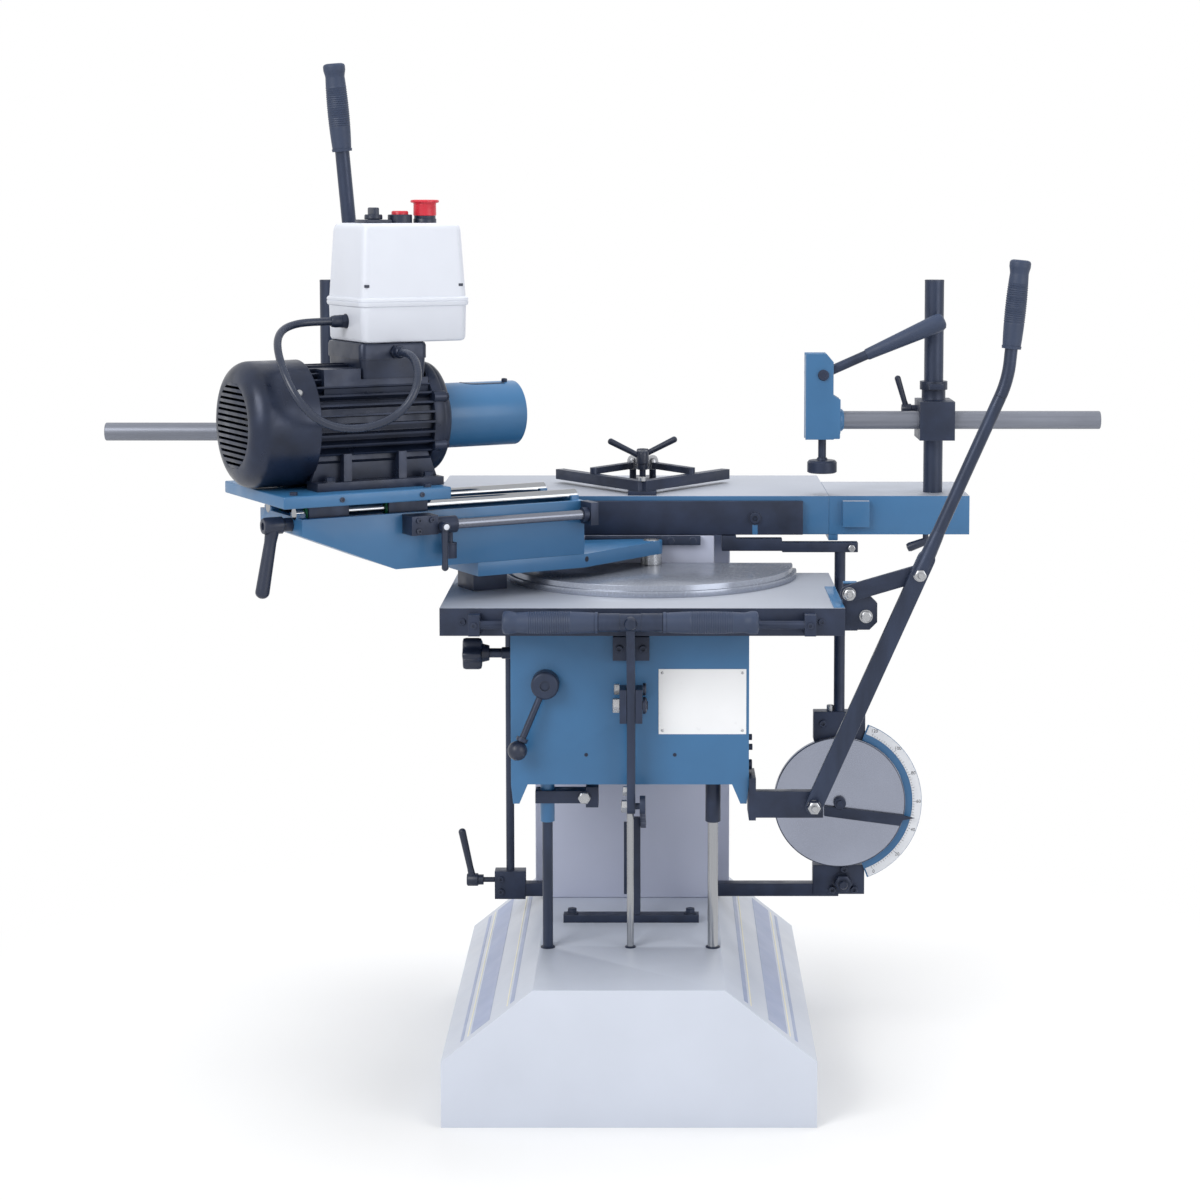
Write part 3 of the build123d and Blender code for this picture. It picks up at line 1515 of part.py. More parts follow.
with BuildPart() as control_lid:
    lid_height = box_top - box_lid_z
    lid_taper = degrees(atan2(box_taper, lid_height))
    with BuildSketch(HEAD.offset(box_lid_z)):
        with Locations((box_middle, 0)):
            RectangleRounded(box_length, 2 * box_half, box_round)
    extrude(amount=lid_height, taper=lid_taper)
    with BuildSketch(HEAD.offset(box_lid_z)):
        with Locations((box_middle, 0)):
            Rectangle(box_length - 2 * box_wall, 2 * (box_half - box_wall))
    extrude(amount=lid_height - box_wall, taper=lid_taper, mode=Mode.SUBTRACT)
    block(
        (selector_u - selector_plate_half, selector_u + selector_plate_half),
        (-selector_plate_half, selector_plate_half),
        (box_top, box_top + selector_plate_height),
        HEAD,
    )
    start_rim = (start_u, 0, box_top + start_collar_height)
    stop_rim = (stop_u, 0, box_top + stop_collar_height)
    rod((start_u, 0, box_top), start_rim, start_collar_radius, HEAD)
    rod((stop_u, 0, box_top), stop_rim, stop_collar_radius, HEAD)
    start_bore = start_radius + slide_gap
    rod((start_u, 0, box_top + collar_floor), start_rim, start_bore, HEAD, Mode.SUBTRACT)
    selector_rim = (selector_u, 0, box_top + selector_plate_height)
    for rim in (selector_rim, start_rim, stop_rim):
        stem_hole = button_stem_radius + slide_gap
        rod((rim[0], 0, box_top - box_wall), rim, stem_hole, HEAD, Mode.SUBTRACT)
control_pieces = Compound(label="control_box", children=[control_box.part, control_lid.part])
export_step(control_pieces, "parts/control_box.step")

# Switches in the lid
with BuildPart() as selector_switch:
    collar_top = box_top + selector_plate_height + slide_gap
    stem_foot = box_top - button_stem_depth
    rod((selector_u, 0, stem_foot), (selector_u, 0, collar_top), button_stem_radius, HEAD)
    rod((selector_u, 0, collar_top), (selector_u, 0, collar_top + selector_base), selector_radius, HEAD)
    block(
        (selector_u - selector_half_width, selector_u + selector_half_width),
        (-selector_radius, selector_radius),
        (collar_top, collar_top + selector_height),
        HEAD,
    )
selector_switch.part.label = "selector_switch"
export_step(selector_switch.part, "parts/selector_switch.step")

with BuildPart() as start_button:
    cap_low = box_top + collar_floor + slide_gap + button_travel
    rod((start_u, 0, stem_foot), (start_u, 0, cap_low), button_stem_radius, HEAD)
    rod((start_u, 0, cap_low), (start_u, 0, cap_low + start_height), start_radius, HEAD)
start_button.part.label = "start_button"
export_step(start_button.part, "parts/start_button.step")

with BuildPart() as stop_button:
    stop_low = box_top + stop_collar_height + slide_gap + button_travel
    lip_low = stop_low + stop_height - stop_lip
    rod((stop_u, 0, stem_foot), (stop_u, 0, stop_low), button_stem_radius, HEAD)
    rod((stop_u, 0, stop_low), (stop_u, 0, lip_low), stop_neck_radius, HEAD)
    rod((stop_u, 0, lip_low), (stop_u, 0, lip_low + stop_lip), stop_radius, HEAD)
stop_button.part.label = "stop_button"
export_step(stop_button.part, "parts/stop_button.step")

# Motor cable: from the control box's gland, down beside the cowl, up to the terminal box's gland.
# The points are places along and across the drill axis and heights.
cable_points = [
    (box_ends[0] - gland_length, gland_v, gland_z),
    (-553.0, -5.0, 1108.0),
    (-579.0, -9.0, 1106.0),
    (-602.0, -22.0, 1100.0),
    (-618.0, -42.0, 1089.0),
    (-627.0, -65.0, 1073.0),
    (-630.0, -88.0, 1053.0),
    (-628.0, -108.0, 1030.0),
    (-619.0, -122.0, 1007.0),
    (-603.0, -131.0, 986.0),
    (-580.0, -137.0, 973.0),
    (-553.0, -142.0, 968.0),
    (-526.0, -146.0, 970.0),
    (-501.0, -151.0, 978.0),
    (-480.0, -155.5, 993.0),
    (-464.0, -156.5, 1014.0),
    (-453.5, -147.0, 1037.5),
    (-449.0, -129.0, 1056.5),
    (terminal_gland_u, -104.0, terminal_gland_z),
    (terminal_gland_u, -terminal_half - terminal_gland_length, terminal_gland_z),
]


def cord_radii(points):
    """The largest arc at each corner that leaves a tenth of the shorter run straight."""
    radii = []
    for before, corner, after in zip(points, points[1:], points[2:]):
        run_in = Vector(*corner) - Vector(*before)
        run_out = Vector(*after) - Vector(*corner)
        half_turn = radians(run_in.get_angle(run_out) / 2)
        radii.append(0.45 * min(run_in.length, run_out.length) / tan(half_turn))
    return radii


cable_radii = cord_radii(cable_points)
cable_route = [HEAD.from_local_coords(Vector(*point)) for point in cable_points]
with BuildPart() as motor_cable:
    with BuildLine():
        cable_path = FilletPolyline(*cable_route, radius=cable_radii)
    with BuildSketch(Plane(origin=cable_path @ 0, z_dir=cable_path % 0)):
        Circle(cable_radius)
    sweep(path=cable_path)
motor_cable.part.label = "motor_cable"
export_step(motor_cable.part, "parts/motor_cable.step")
print("cable radii", [round(radius, 1) for radius in cable_radii])
print("cable length", round(cable_path.length, 1))
cable_share = motor_cable.part.volume / (pi * cable_radius**2 * cable_path.length)
print("cable volume over section times length", round(cable_share, 4))

# Feed lever behind the motor: flat foot on the housing's shaft, rod and grip
with BuildPart() as feed_lever:
    feed_mid = feed_v + feed_thickness / 2
    feed_run = Vector(feed_top_u - feed_u, feed_top_z - feed_z)
    feed_bar_end = Vector(feed_u, feed_z) + feed_run.normalized() * feed_bar_length
    feed_rear = feed_v + feed_thickness
    foot_points = ((feed_u, feed_z), (feed_bar_end.X, feed_bar_end.Y))
    flat_link(*foot_points, feed_bar_half, head_side(feed_rear), feed_thickness)
    shaft_hole = feed_rod_radius + pin_gap
    rod((feed_u, feed_v, feed_z), (feed_u, feed_rear, feed_z), shaft_hole, HEAD, Mode.SUBTRACT)
    grip_low = Vector(feed_top_u, feed_top_z) - feed_run.normalized() * feed_grip_length
    grip_start = (grip_low.X, feed_mid, grip_low.Y)
    rod((feed_bar_end.X, feed_mid, feed_bar_end.Y), grip_start, feed_rod_radius, HEAD)

with BuildPart() as feed_grip:
    grip_end = (feed_top_u, feed_mid, feed_top_z - lever_grip_radius)
    rod(grip_start, grip_end, lever_grip_radius, HEAD)
    ball(grip_end, lever_grip_radius, HEAD)
feed_pieces = Compound(label="feed_lever", children=[feed_lever.part, feed_grip.part])
export_step(feed_pieces, "parts/feed_lever.step")

# Workpiece clamps: cross block on the post, bar with the head, lever, foot and locking lever
clamp_sets = (
    ("left", -1, left_clamp_x, left_clamp_drop, left_lever_angle),
    ("right", 1, right_clamp_x, right_clamp_drop, right_lever_angle),
)
for name, side, clamp_x, clamp_drop, lever_angle in clamp_sets:
    middle = side * post_x
    clamp_bar_z = table_top_z + clamp_bar_rise - clamp_drop
    head_z = clamp_bar_z + clamp_lever_rise
    block_top = clamp_bar_z + clamp_block_height / 2
    neck_top = block_top + clamp_neck_height
    collar_top_z = neck_top + clamp_collar_height
    with BuildPart() as clamp_block:
        block(
            (middle - clamp_block_half, middle + clamp_block_half),
            (clamp_bar_y - clamp_bar_radius - clamp_block_wall, post_y + post_radius + clamp_block_wall),
            (block_top - clamp_block_height, block_top),
        )
        rod((middle, post_y, block_top), (middle, post_y, neck_top), clamp_neck_radius)
        rod((middle, post_y, neck_top), (middle, post_y, collar_top_z), clamp_neck_radius + clamp_collar_step)
        screw_z = neck_top + clamp_collar_height / 2
        screw_y = post_y - clamp_neck_radius
        wing_y = screw_y - clamp_screw_length
        rod((middle, screw_y, screw_z), (middle, wing_y, screw_z), clamp_screw_radius)
        block(
            (middle - clamp_wing_half, middle + clamp_wing_half),
            (wing_y - clamp_wing_depth, wing_y),
            (screw_z - clamp_wing_height / 2, screw_z + clamp_wing_height / 2),
        )
        rod(
            (middle, post_y, block_top - clamp_block_height),
            (middle, post_y, collar_top_z),
            post_radius + pin_gap,
            mode=Mode.SUBTRACT,
        )
        rod(
            (middle - clamp_block_half, clamp_bar_y, clamp_bar_z),
            (middle + clamp_block_half, clamp_bar_y, clamp_bar_z),
            clamp_bar_radius + pin_gap,
            mode=Mode.SUBTRACT,
        )
    clamp_block.part.label = f"clamp_block_{name}"
    export_step(clamp_block.part, f"parts/clamp_block_{name}.step")

    with BuildPart() as clamp_arm:
        head_low = clamp_bar_z - clamp_head_drop
        head_high = clamp_bar_z + clamp_head_rise
        head_half = clamp_head_width / 2
        shoulder = head_half - clamp_chamfer
        cheek_outline = [
            (-head_half, head_low),
            (head_half, head_low),
            (head_half, clamp_bar_z + clamp_shoulder_rise),
            (shoulder, clamp_bar_z + clamp_shoulder_rise),
            (shoulder, head_high - clamp_chamfer),
            (shoulder - clamp_chamfer, head_high),
            (-head_half, head_high),
        ]
        cheek_points = [(clamp_x + side * across, height) for across, height in cheek_outline]
        head_y = (clamp_bar_y - clamp_head_depth / 2, clamp_bar_y + clamp_head_depth / 2)
        for cheek_rear in (head_y[0] + clamp_cheek, head_y[1]):
            prism(cheek_points, side_plane(cheek_rear), clamp_cheek)
        web = (clamp_x + side * clamp_web_start, clamp_x + side * head_half)
        block((min(web), max(web)), head_y, (head_low, clamp_bar_z + clamp_head_drop))
        guide_top = head_low + clamp_guide_height
        block((clamp_x - clamp_guide_half, clamp_x + clamp_guide_half), head_y, (head_low, guide_top))
        rod(
            (clamp_x + side * clamp_head_width / 2, clamp_bar_y, clamp_bar_z),
            (clamp_x + side * clamp_bar_length, clamp_bar_y, clamp_bar_z),
            clamp_bar_radius,
        )
        rod(
            (clamp_x, head_y[0] - clamp_pin_overhang, head_z),
            (clamp_x, head_y[1] + clamp_pin_overhang, head_z),
            clamp_pin_radius,
        )
        rod(
            (clamp_x, clamp_bar_y, head_low),
            (clamp_x, clamp_bar_y, guide_top),
            clamp_stem_radius + pin_gap,
            mode=Mode.SUBTRACT,
        )
    clamp_arm.part.label = f"clamp_arm_{name}"
    export_step(clamp_arm.part, f"parts/clamp_arm_{name}.step")

    with BuildPart() as clamp_lever:
        lever_reach = side * clamp_lever_length * cos(radians(lever_angle))
        lever_climb = clamp_lever_length * sin(radians(lever_angle))
        tip_x = clamp_x + lever_reach
        tip_z = head_z + lever_climb
        grip_x = clamp_x + lever_reach * clamp_grip_start
        grip_z = head_z + lever_climb * clamp_grip_start
        slot_half = clamp_head_depth / 2 - clamp_cheek - slide_gap
        hub_front = (clamp_x, clamp_bar_y - slot_half, head_z)
        hub_rear = (clamp_x, clamp_bar_y + slot_half, head_z)
        rod(hub_front, hub_rear, clamp_hub_radius)
        lever_plane = side_plane(clamp_bar_y + slot_half)
        flat_link((clamp_x, head_z), (grip_x, grip_z), clamp_lever_half, lever_plane, 2 * slot_half)
        rod((grip_x, clamp_bar_y, grip_z), (tip_x, clamp_bar_y, tip_z), clamp_grip_radius)
        ball((tip_x, clamp_bar_y, tip_z), clamp_grip_radius)
        rod(hub_front, hub_rear, clamp_pin_radius + pin_gap, mode=Mode.SUBTRACT)
    clamp_lever.part.label = f"clamp_lever_{name}"
    export_step(clamp_lever.part, f"parts/clamp_lever_{name}.step")

    with BuildPart() as clamp_foot:
        foot_z = clamp_bar_z - clamp_foot_drop
        foot_low = (clamp_x, clamp_bar_y, foot_z)
        foot_high = (clamp_x, clamp_bar_y, foot_z + clamp_foot_height)
        rod(foot_low, (clamp_x, clamp_bar_y, clamp_bar_z + clamp_stem_rise), clamp_stem_radius)
        rod(foot_low, foot_high, clamp_foot_radius)
    clamp_foot.part.label = f"clamp_foot_{name}"
    export_step(clamp_foot.part, f"parts/clamp_foot_{name}.step")

    with BuildPart() as block_lever:
        clamp_handle(
            (middle - side * (clamp_block_half + slide_gap), block_lever_y, clamp_bar_z + block_lever_rise),
            (-side, 0, 0),
            (0, 0, block_lever_reach),
            hub_radius=block_hub_radius,
            hub_length=block_hub_length,
            lift=block_lever_lift,
        )
    block_lever.part.label = f"block_lever_{name}"
    export_step(block_lever.part, f"parts/block_lever_{name}.step")
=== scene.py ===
import json
import math
from itertools import product

import bmesh
import bpy
from mathutils import Matrix, Vector

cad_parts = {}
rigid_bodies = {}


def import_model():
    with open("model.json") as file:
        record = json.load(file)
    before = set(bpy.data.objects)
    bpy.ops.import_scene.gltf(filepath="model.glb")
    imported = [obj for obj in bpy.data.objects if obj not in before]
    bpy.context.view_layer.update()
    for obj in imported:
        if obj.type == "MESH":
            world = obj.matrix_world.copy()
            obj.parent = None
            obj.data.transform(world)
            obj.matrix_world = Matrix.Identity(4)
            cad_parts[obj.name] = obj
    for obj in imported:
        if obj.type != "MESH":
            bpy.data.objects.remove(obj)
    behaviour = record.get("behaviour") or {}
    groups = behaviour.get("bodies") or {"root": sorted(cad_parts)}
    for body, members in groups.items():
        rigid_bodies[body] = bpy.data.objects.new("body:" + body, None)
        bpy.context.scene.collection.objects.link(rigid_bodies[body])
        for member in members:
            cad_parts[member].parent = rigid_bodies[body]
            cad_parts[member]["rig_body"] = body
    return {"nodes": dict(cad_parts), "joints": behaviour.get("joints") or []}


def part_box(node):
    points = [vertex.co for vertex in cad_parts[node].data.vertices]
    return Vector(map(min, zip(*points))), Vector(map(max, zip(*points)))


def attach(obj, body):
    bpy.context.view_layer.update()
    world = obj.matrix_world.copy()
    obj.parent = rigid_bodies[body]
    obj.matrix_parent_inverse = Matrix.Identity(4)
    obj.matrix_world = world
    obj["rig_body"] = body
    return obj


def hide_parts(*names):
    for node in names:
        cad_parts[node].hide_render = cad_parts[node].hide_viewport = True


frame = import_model()
nodes = frame["nodes"]
joints = {joint["name"]: joint for joint in frame["joints"]}
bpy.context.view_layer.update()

# Sizes and places of the pieces are in millimetres, and a piece is brought to metres as it is put down
MM = 0.001
LEFT, RIGHT = Vector((-1, 0, 0)), Vector((1, 0, 0))
FRONT, BACK = Vector((0, -1, 0)), Vector((0, 1, 0))
UP, DOWN = Vector((0, 0, 1)), Vector((0, 0, -1))
WORLD, METRES = Matrix.Identity(4), Matrix.Scale(MM, 4)


def axes(first, second, third):
    return Matrix((first, second, third)).transposed().to_4x4()


# A frame that faces the operator: to the right, up, and forward
FACE = axes(RIGHT, UP, FRONT)

# The head's own frame, in metres: along the drill axis, across it and up, from the swivel pin
swivel = Vector(joints["head_swivel"]["pos_m"])
drill_axis = Vector(joints["carriage_feed"]["axis"])
across_axis = Vector(joints["feed_lever_swing"]["axis"])
HEAD = Matrix.Translation((swivel.x, swivel.y, 0)) @ axes(drill_axis, across_axis, UP)
ALONG, ACROSS, NEAR = RIGHT, BACK, FRONT
HEAD_BODIES = {
    "head", "carriage", "carriage_lock", "feed_lever", "feed_stop_lever", "selector_switch", "start_button",
    "stop_button",
}


def box_of(node):
    return [Vector(corner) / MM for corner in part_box(node)]


def middle_of(node):
    low, high = box_of(node)
    return (low + high) / 2


def pivot(joint):
    return Vector(joints[joint]["pos_m"]) / MM


def polar(radius, angle):
    return (radius * math.cos(angle), radius * math.sin(angle))


# Materials, by the name of their finish
look = {}

# The record's slot of each finish that has a name of its own
SLOTS = {
    "stripe_blue": "grey_paint",
    "stripe_cream": "grey_paint",
    "lever_steel": "black_steel",
    "ink": "black_steel",
    "zinc": "bright_steel",
    "dial_steel": "bright_steel",
    "rod_steel": "bright_steel",
    "bar_steel": "clamp_steel",
    "grip_rubber": "black_plastic",
    "green_seal": "black_plastic",
    "scale_white": "white_plastic",
    "plate_white": "white_plastic",
}


def feed(tree, socket, value):
    """Links an input to another node, or sets its value."""
    if isinstance(value, bpy.types.NodeSocket):
        tree.links.new(value, socket)
    else:
        socket.default_value = value


def shader_node(tree, kind, *values, operation=None, **named):
    """A node with its first inputs in their order, and others by their names."""
    made = tree.nodes.new("ShaderNode" + kind)
    if operation:
        made.operation = operation
    for place, value in enumerate(values):
        feed(tree, made.inputs[place], value)
    for name, value in named.items():
        feed(tree, made.inputs[name.replace("_", " ")], value)
    return made


class Finish:
    """A node material: a principled shader with its colour, roughness and relief from noise."""

    def __init__(self, name, metallic=0.0, coat=0.0, specular=0.5):
        look[name] = bpy.data.materials.new(name)
        look[name].use_nodes = True
        self.tree = look[name].node_tree
        self.inputs = self.tree.nodes["Principled BSDF"].inputs
        self.inputs["Metallic"].default_value = metallic
        self.inputs["Coat Weight"].default_value = coat
        self.inputs["Coat Roughness"].default_value = 0.12
        self.inputs["Specular IOR Level"].default_value = specular
        self.place = self.node("TexCoord").outputs["Object"]

    def node(self, kind, *values, **named):
        return shader_node(self.tree, kind, *values, **named)

    def noise(self, stretch, detail=4.0, distortion=0.0):
        scale = stretch if isinstance(stretch, tuple) else (stretch,) * 3
        moved = self.node("Mapping", Vector=self.place, Scale=scale).outputs["Vector"]
        made = self.node("TexNoise", Vector=moved, Scale=1.0, Detail=detail, Distortion=distortion)
        return made.outputs["Fac"]

    def spread(self, source, low, high, start=0.3, end=0.7):
        return self.node("MapRange", source, start, end, low, high).outputs["Result"]

    def blend(self, factor, first, second):
        made = self.node("Mix")
        made.data_type = "RGBA"
        for place, value in ((0, factor), (6, first), (7, second)):
            feed(self.tree, made.inputs[place], value)
        return made.outputs[2]

    def mottled(self, source, colour, dark, pale):
        return self.blend(self.spread(source, 0, 1), shade(colour, dark), shade(colour, pale))

    def worn(self, base, colour, radius, scuff):
        """Shows another colour on edges and corners, as far as the scuffs reach: partly rubbed wear, partly
        a painted edge highlight.
        """
        bevel = self.node("Bevel", Radius=radius)
        bevel.samples = 6
        plain = self.node("NewGeometry").outputs["Normal"]
        match = self.node("VectorMath", bevel.outputs["Normal"], plain, operation="DOT_PRODUCT")
        edge = self.spread(match.outputs["Value"], 1.0, 0.0, 0.80, 0.985)
        rubbed_and_highlit = self.node("Math", edge, scuff, operation="MULTIPLY")
        return self.blend(rubbed_and_highlit.outputs[0], base, shade(colour, 1))

    def done(self, colour, rough, height, strength, distance):
        bump = self.node("Bump", Height=height, Strength=strength, Distance=distance).outputs["Normal"]
        for name, socket in (("Base Color", colour), ("Roughness", rough), ("Normal", bump)):
            self.tree.links.new(socket, self.inputs[name])


def shade(colour, factor):
    return tuple(min(1.0, part * factor) for part in colour) + (1.0,)


def paint(name, colour, rough, mottle, peel, worn=None):
    """Sprayed paint: faint mottling, orange peel, and a paler line on edges that is partly rubbed wear and
    partly a painted highlight.
    """
    made = Finish(name, coat=0.15)
    base = made.mottled(made.noise(9, 3), colour, 1 - mottle, 1 + mottle)
    if worn:
        base = made.worn(base, worn, 0.0015, made.spread(made.noise(60, 5), 0, 0.55, 0.42, 0.62))
    sheen = made.spread(made.noise(30), rough - 0.05, rough + 0.07)
    made.done(base, sheen, made.noise(900, 2), peel, 0.0002)


def ground(name, colour, rough, lay, streak, stain_and_reflection, metallic, edge):
    """Ground or drawn metal: fine lines along its lay, and broad darker clouds: stains, and on the dial a
    painted reflection.
    """
    made = Finish(name, metallic=metallic)
    made.inputs["Specular Tint"].default_value = (edge, edge, edge, 1)
    lines = made.noise(lay, 6)
    stain_and_reflection_cloud = made.noise(7, 4, 0.6)
    base = made.mottled(lines, colour, 1 - streak, 1 + streak)
    tinted = made.blend(made.spread(stain_and_reflection_cloud, 0, 0.5), base, shade(colour, 1 - 3 * stain_and_reflection))
    made.done(tinted, made.spread(lines, rough - 0.05, rough + 0.06), lines, 0.07, 0.0001)


def dark_steel(name, colour, rough, worn, grain=24):
    """Blued or black-painted steel: cloudy sheen, pitted grain, and bright edges that are partly rubbed
    wear and partly a painted highlight.
    """
    made = Finish(name, metallic=0.35)
    base = made.mottled(made.noise(grain, 5), colour, 0.72, 1.30)
    rubbed_and_highlit = made.worn(base, worn, 0.0012, made.spread(made.noise(70, 4), 0.1, 0.75))
    sheen = made.spread(made.noise(45), rough - 0.08, rough + 0.10)
    made.done(rubbed_and_highlit, sheen, made.noise(700, 3), 0.10, 0.00025)


def plastic(name, colour, rough, grain=1400, depth=0.14, mottle=0.08):
    """Moulded plastic or rubber: even colour with a fine spark-eroded grain."""
    made = Finish(name, specular=0.45)
    base = made.mottled(made.noise(20, 3), colour, 1 - mottle, 1 + mottle)
    sheen = made.spread(made.noise(80), rough - 0.05, rough + 0.06)
    made.done(base, sheen, made.noise(grain, 2), depth, 0.00015)


paint("grey_paint", (0.57, 0.61, 0.70), 0.40, 0.025, 0.10)
paint("column_paint", (0.43, 0.46, 0.58), 0.42, 0.03, 0.10)
paint("blue_paint", (0.031, 0.133, 0.290), 0.38, 0.07, 0.14, worn=(0.12, 0.24, 0.36))
ground("ground_iron", (0.44, 0.47, 0.54), 0.50, (4, 260, 260), 0.06, 0.03, 0.35, 0.45)
ground("disc_iron", (0.33, 0.36, 0.43), 0.24, 900, 0.012, 0.035, 0.55, 0.60)
# The dial's strong darker clouds are a painted reflection on its polished face
ground("dial_steel", (0.335, 0.36, 0.44), 0.24, 900, 0.015, 0.09, 0.90, 0.65)
ground("bar_steel", (0.21, 0.225, 0.27), 0.34, (6, 260, 260), 0.10, 0.10, 0.40, 0.60)
ground("bright_steel", (0.38, 0.39, 0.41), 0.22, 420, 0.04, 0.02, 0.85, 0.75)
ground("rod_steel", (0.19, 0.205, 0.25), 0.24, 1500, 0.006, 0.01, 0.75, 0.60)
ground("chrome", (0.36, 0.37, 0.39), 0.15, (420, 420, 30), 0.02, 0.01, 1.0, 0.80)
ground("zinc", (0.42, 0.43, 0.45), 0.28, 420, 0.04, 0.02, 0.80, 0.75)
dark_steel("black_steel", (0.018, 0.027, 0.056), 0.42, (0.10, 0.105, 0.12))
dark_steel("lever_steel", (0.022, 0.033, 0.066), 0.38, (0.12, 0.125, 0.14), (40, 40, 8))
dark_steel("motor_black", (0.012, 0.019, 0.042), 0.34, (0.045, 0.050, 0.068))
plastic("black_plastic", (0.014, 0.021, 0.044), 0.36)
plastic("grip_rubber", (0.027, 0.042, 0.084), 0.52, 900, 0.22)
plastic("white_plastic", (0.66, 0.69, 0.765), 0.38, 1100, 0.08, 0.015)
plastic("red_plastic", (0.56, 0.022, 0.042), 0.30, 1500, 0.06)
plastic("cable_rubber", (0.021, 0.029, 0.053), 0.26, 700, 0.10)
plastic("green_seal", (0.012, 0.16, 0.06), 0.48, 900, 0.12)
plastic("plate_white", (0.83, 0.84, 0.86), 0.32, 500, 0.04, 0.015)
paint("stripe_blue", (0.27, 0.33, 0.52), 0.36, 0.06, 0.08)
paint("stripe_cream", (0.78, 0.75, 0.60), 0.38, 0.04, 0.08)
plastic("scale_white", (0.74, 0.76, 0.80), 0.42, 500, 0.05, 0.02)
plastic("ink", (0.03, 0.032, 0.04), 0.55, 500, 0.05)


# Modelling
def facing(start, axis):
    """A frame whose third axis points along a direction."""
    along = Vector(axis).normalized()
    first = (UP if abs(along.z) < 0.9 else RIGHT).cross(along).normalized()
    return Matrix.Translation(Vector(start)) @ axes(first, along.cross(first), along)


def bevelled(shape, edges, offset, **limits):
    """Rounds off edges of a mesh that is in metres."""
    width = offset * MM
    bmesh.ops.bevel(shape, geom=edges, offset=width, segments=2, profile=0.6, affect="EDGES", **limits)


class Piece:
    """A mesh put together from shapes, which then rides on a body of the frame."""

    def __init__(self, name, body, finish, slot=None):
        self.name, self.body, self.finish = name, body, finish
        self.slot = slot or SLOTS.get(finish, finish)
        self.home = (HEAD if body in HEAD_BODIES else WORLD) @ METRES
        self.mesh = bmesh.new()

    def put(self, verts, faces, where=WORLD):
        made = [self.mesh.verts.new(self.home @ (where @ Vector(vert))) for vert in verts]
        for face in faces:
            self.mesh.faces.new([made[index] for index in face])
        return self

    def join(self, other, where=WORLD):
        """Takes in a small mesh, which is in metres, and frees it."""
        other.verts.index_update()
        verts = [vert.co / MM for vert in other.verts]
        faces = [[vert.index for vert in face.verts] for face in other.faces]
        other.free()
        return self.put(verts, faces, where)

    def box(self, low, high, round_off, where=WORLD):
        small = bmesh.new()
        bmesh.ops.create_cube(small, size=1.0)
        size = Vector(high) - Vector(low)
        middle = (Vector(high) + Vector(low)) / 2
        matrix = METRES @ Matrix.Translation(middle) @ Matrix.Diagonal((*size, 1))
        bmesh.ops.transform(small, matrix=matrix, verts=small.verts)
        if round_off:
            bevelled(small, small.edges[:], min(round_off, min(size) * 0.45))
        return self.join(small, where)

    def turned(self, profile, start, axis, steps):
        """A lathe form: the profile gives places along the axis and radii there."""
        rings, verts, faces = [], [], []
        for along, radius in profile:
            count = steps if radius > 1e-6 else 1
            rings.append(range(len(verts), len(verts) + count))
            verts += [(*polar(radius, 2 * math.pi * step / steps), along) for step in range(count)]
        for low, high in zip(rings, rings[1:]):
            for step in range(max(len(low), len(high))):
                after = (step + 1) % steps
                if len(low) == 1:
                    faces.append((low[0], high[after], high[step]))
                elif len(high) == 1:
                    faces.append((low[step], low[after], high[0]))
                else:
                    faces.append((low[step], low[after], high[after], high[step]))
        if tuple(profile[0]) != tuple(profile[-1]):
            faces += [tuple(ring) for ring in (rings[0][::-1], rings[-1]) if len(ring) > 1]
        return self.put(verts, faces, facing(start, axis))

    def solid(self, profile, start, axis, steps=40):
        """A lathe form that is closed to its axis at both ends."""
        first, last = [[(along, 0)] if radius else [] for along, radius in (profile[0], profile[-1])]
        return self.turned(first + profile + last, start, axis, steps)

    def ring(self, profile, start, axis, steps=40):
        """A lathe form around a hole."""
        return self.turned(profile + profile[:1], start, axis, steps)

    def bar(self, start, end, radius, steps=32, round_off=0.8):
        run = Vector(end) - Vector(start)
        cut = min(round_off, radius * 0.4)
        profile = [(0, radius - cut), (cut, radius), (run.length - cut, radius), (run.length, radius - cut)]
        return self.solid(profile, start, run, steps)

    def ball(self, centre, radius, steps=32):
        turns = [math.pi * ring / (steps // 2) for ring in range(steps // 2 + 1)]
        profile = [(-radius * math.cos(turn), radius * math.sin(turn)) for turn in turns]
        return self.turned(profile, centre, UP, steps)

    def prism(self, outline, where, height, round_off):
        """An outline in a frame's first two axes, raised along the third, with its rims rounded off."""
        small = bmesh.new()
        face = small.faces.new([small.verts.new((x * MM, y * MM, 0)) for x, y in outline])
        raised = bmesh.ops.extrude_face_region(small, geom=[face])
        moved = [item for item in raised["geom"] if isinstance(item, bmesh.types.BMVert)]
        bmesh.ops.translate(small, vec=(0, 0, height * MM), verts=moved)
        bmesh.ops.recalc_face_normals(small, faces=small.faces)
        rims = [edge for edge in small.edges if abs(edge.verts[0].co.z - edge.verts[1].co.z) < 1e-7]
        bevelled(small, rims, round_off)
        return self.join(small, where)

    def hexagon(self, start, axis, across, height):
        radius, cut = across / math.sqrt(3), across * 0.06
        profile = [(0, radius), (height - cut, radius), (height, radius - 1.6 * cut)]
        return self.solid(profile, start, axis, 6)

    def bolt(self, start, axis, washer, thick, across, height, steps=32):
        """A hexagon head on a washer."""
        self.solid([(0, washer), (thick, washer)], start, axis, steps)
        return self.hexagon(Vector(start) + Vector(axis) * thick, axis, across, height)

    def nut(self, start, axis, across):
        """A hexagon nut on a washer with the end of its stud."""
        thick = across * 0.09
        self.bolt(start, axis, across * 0.64, thick, across, across * 0.6, 36)
        stud = [(0, across * 0.28), (across * 0.8, across * 0.28), (across * 0.88, across * 0.22)]
        return self.solid(stud, Vector(start) + Vector(axis) * thick, axis, 20)

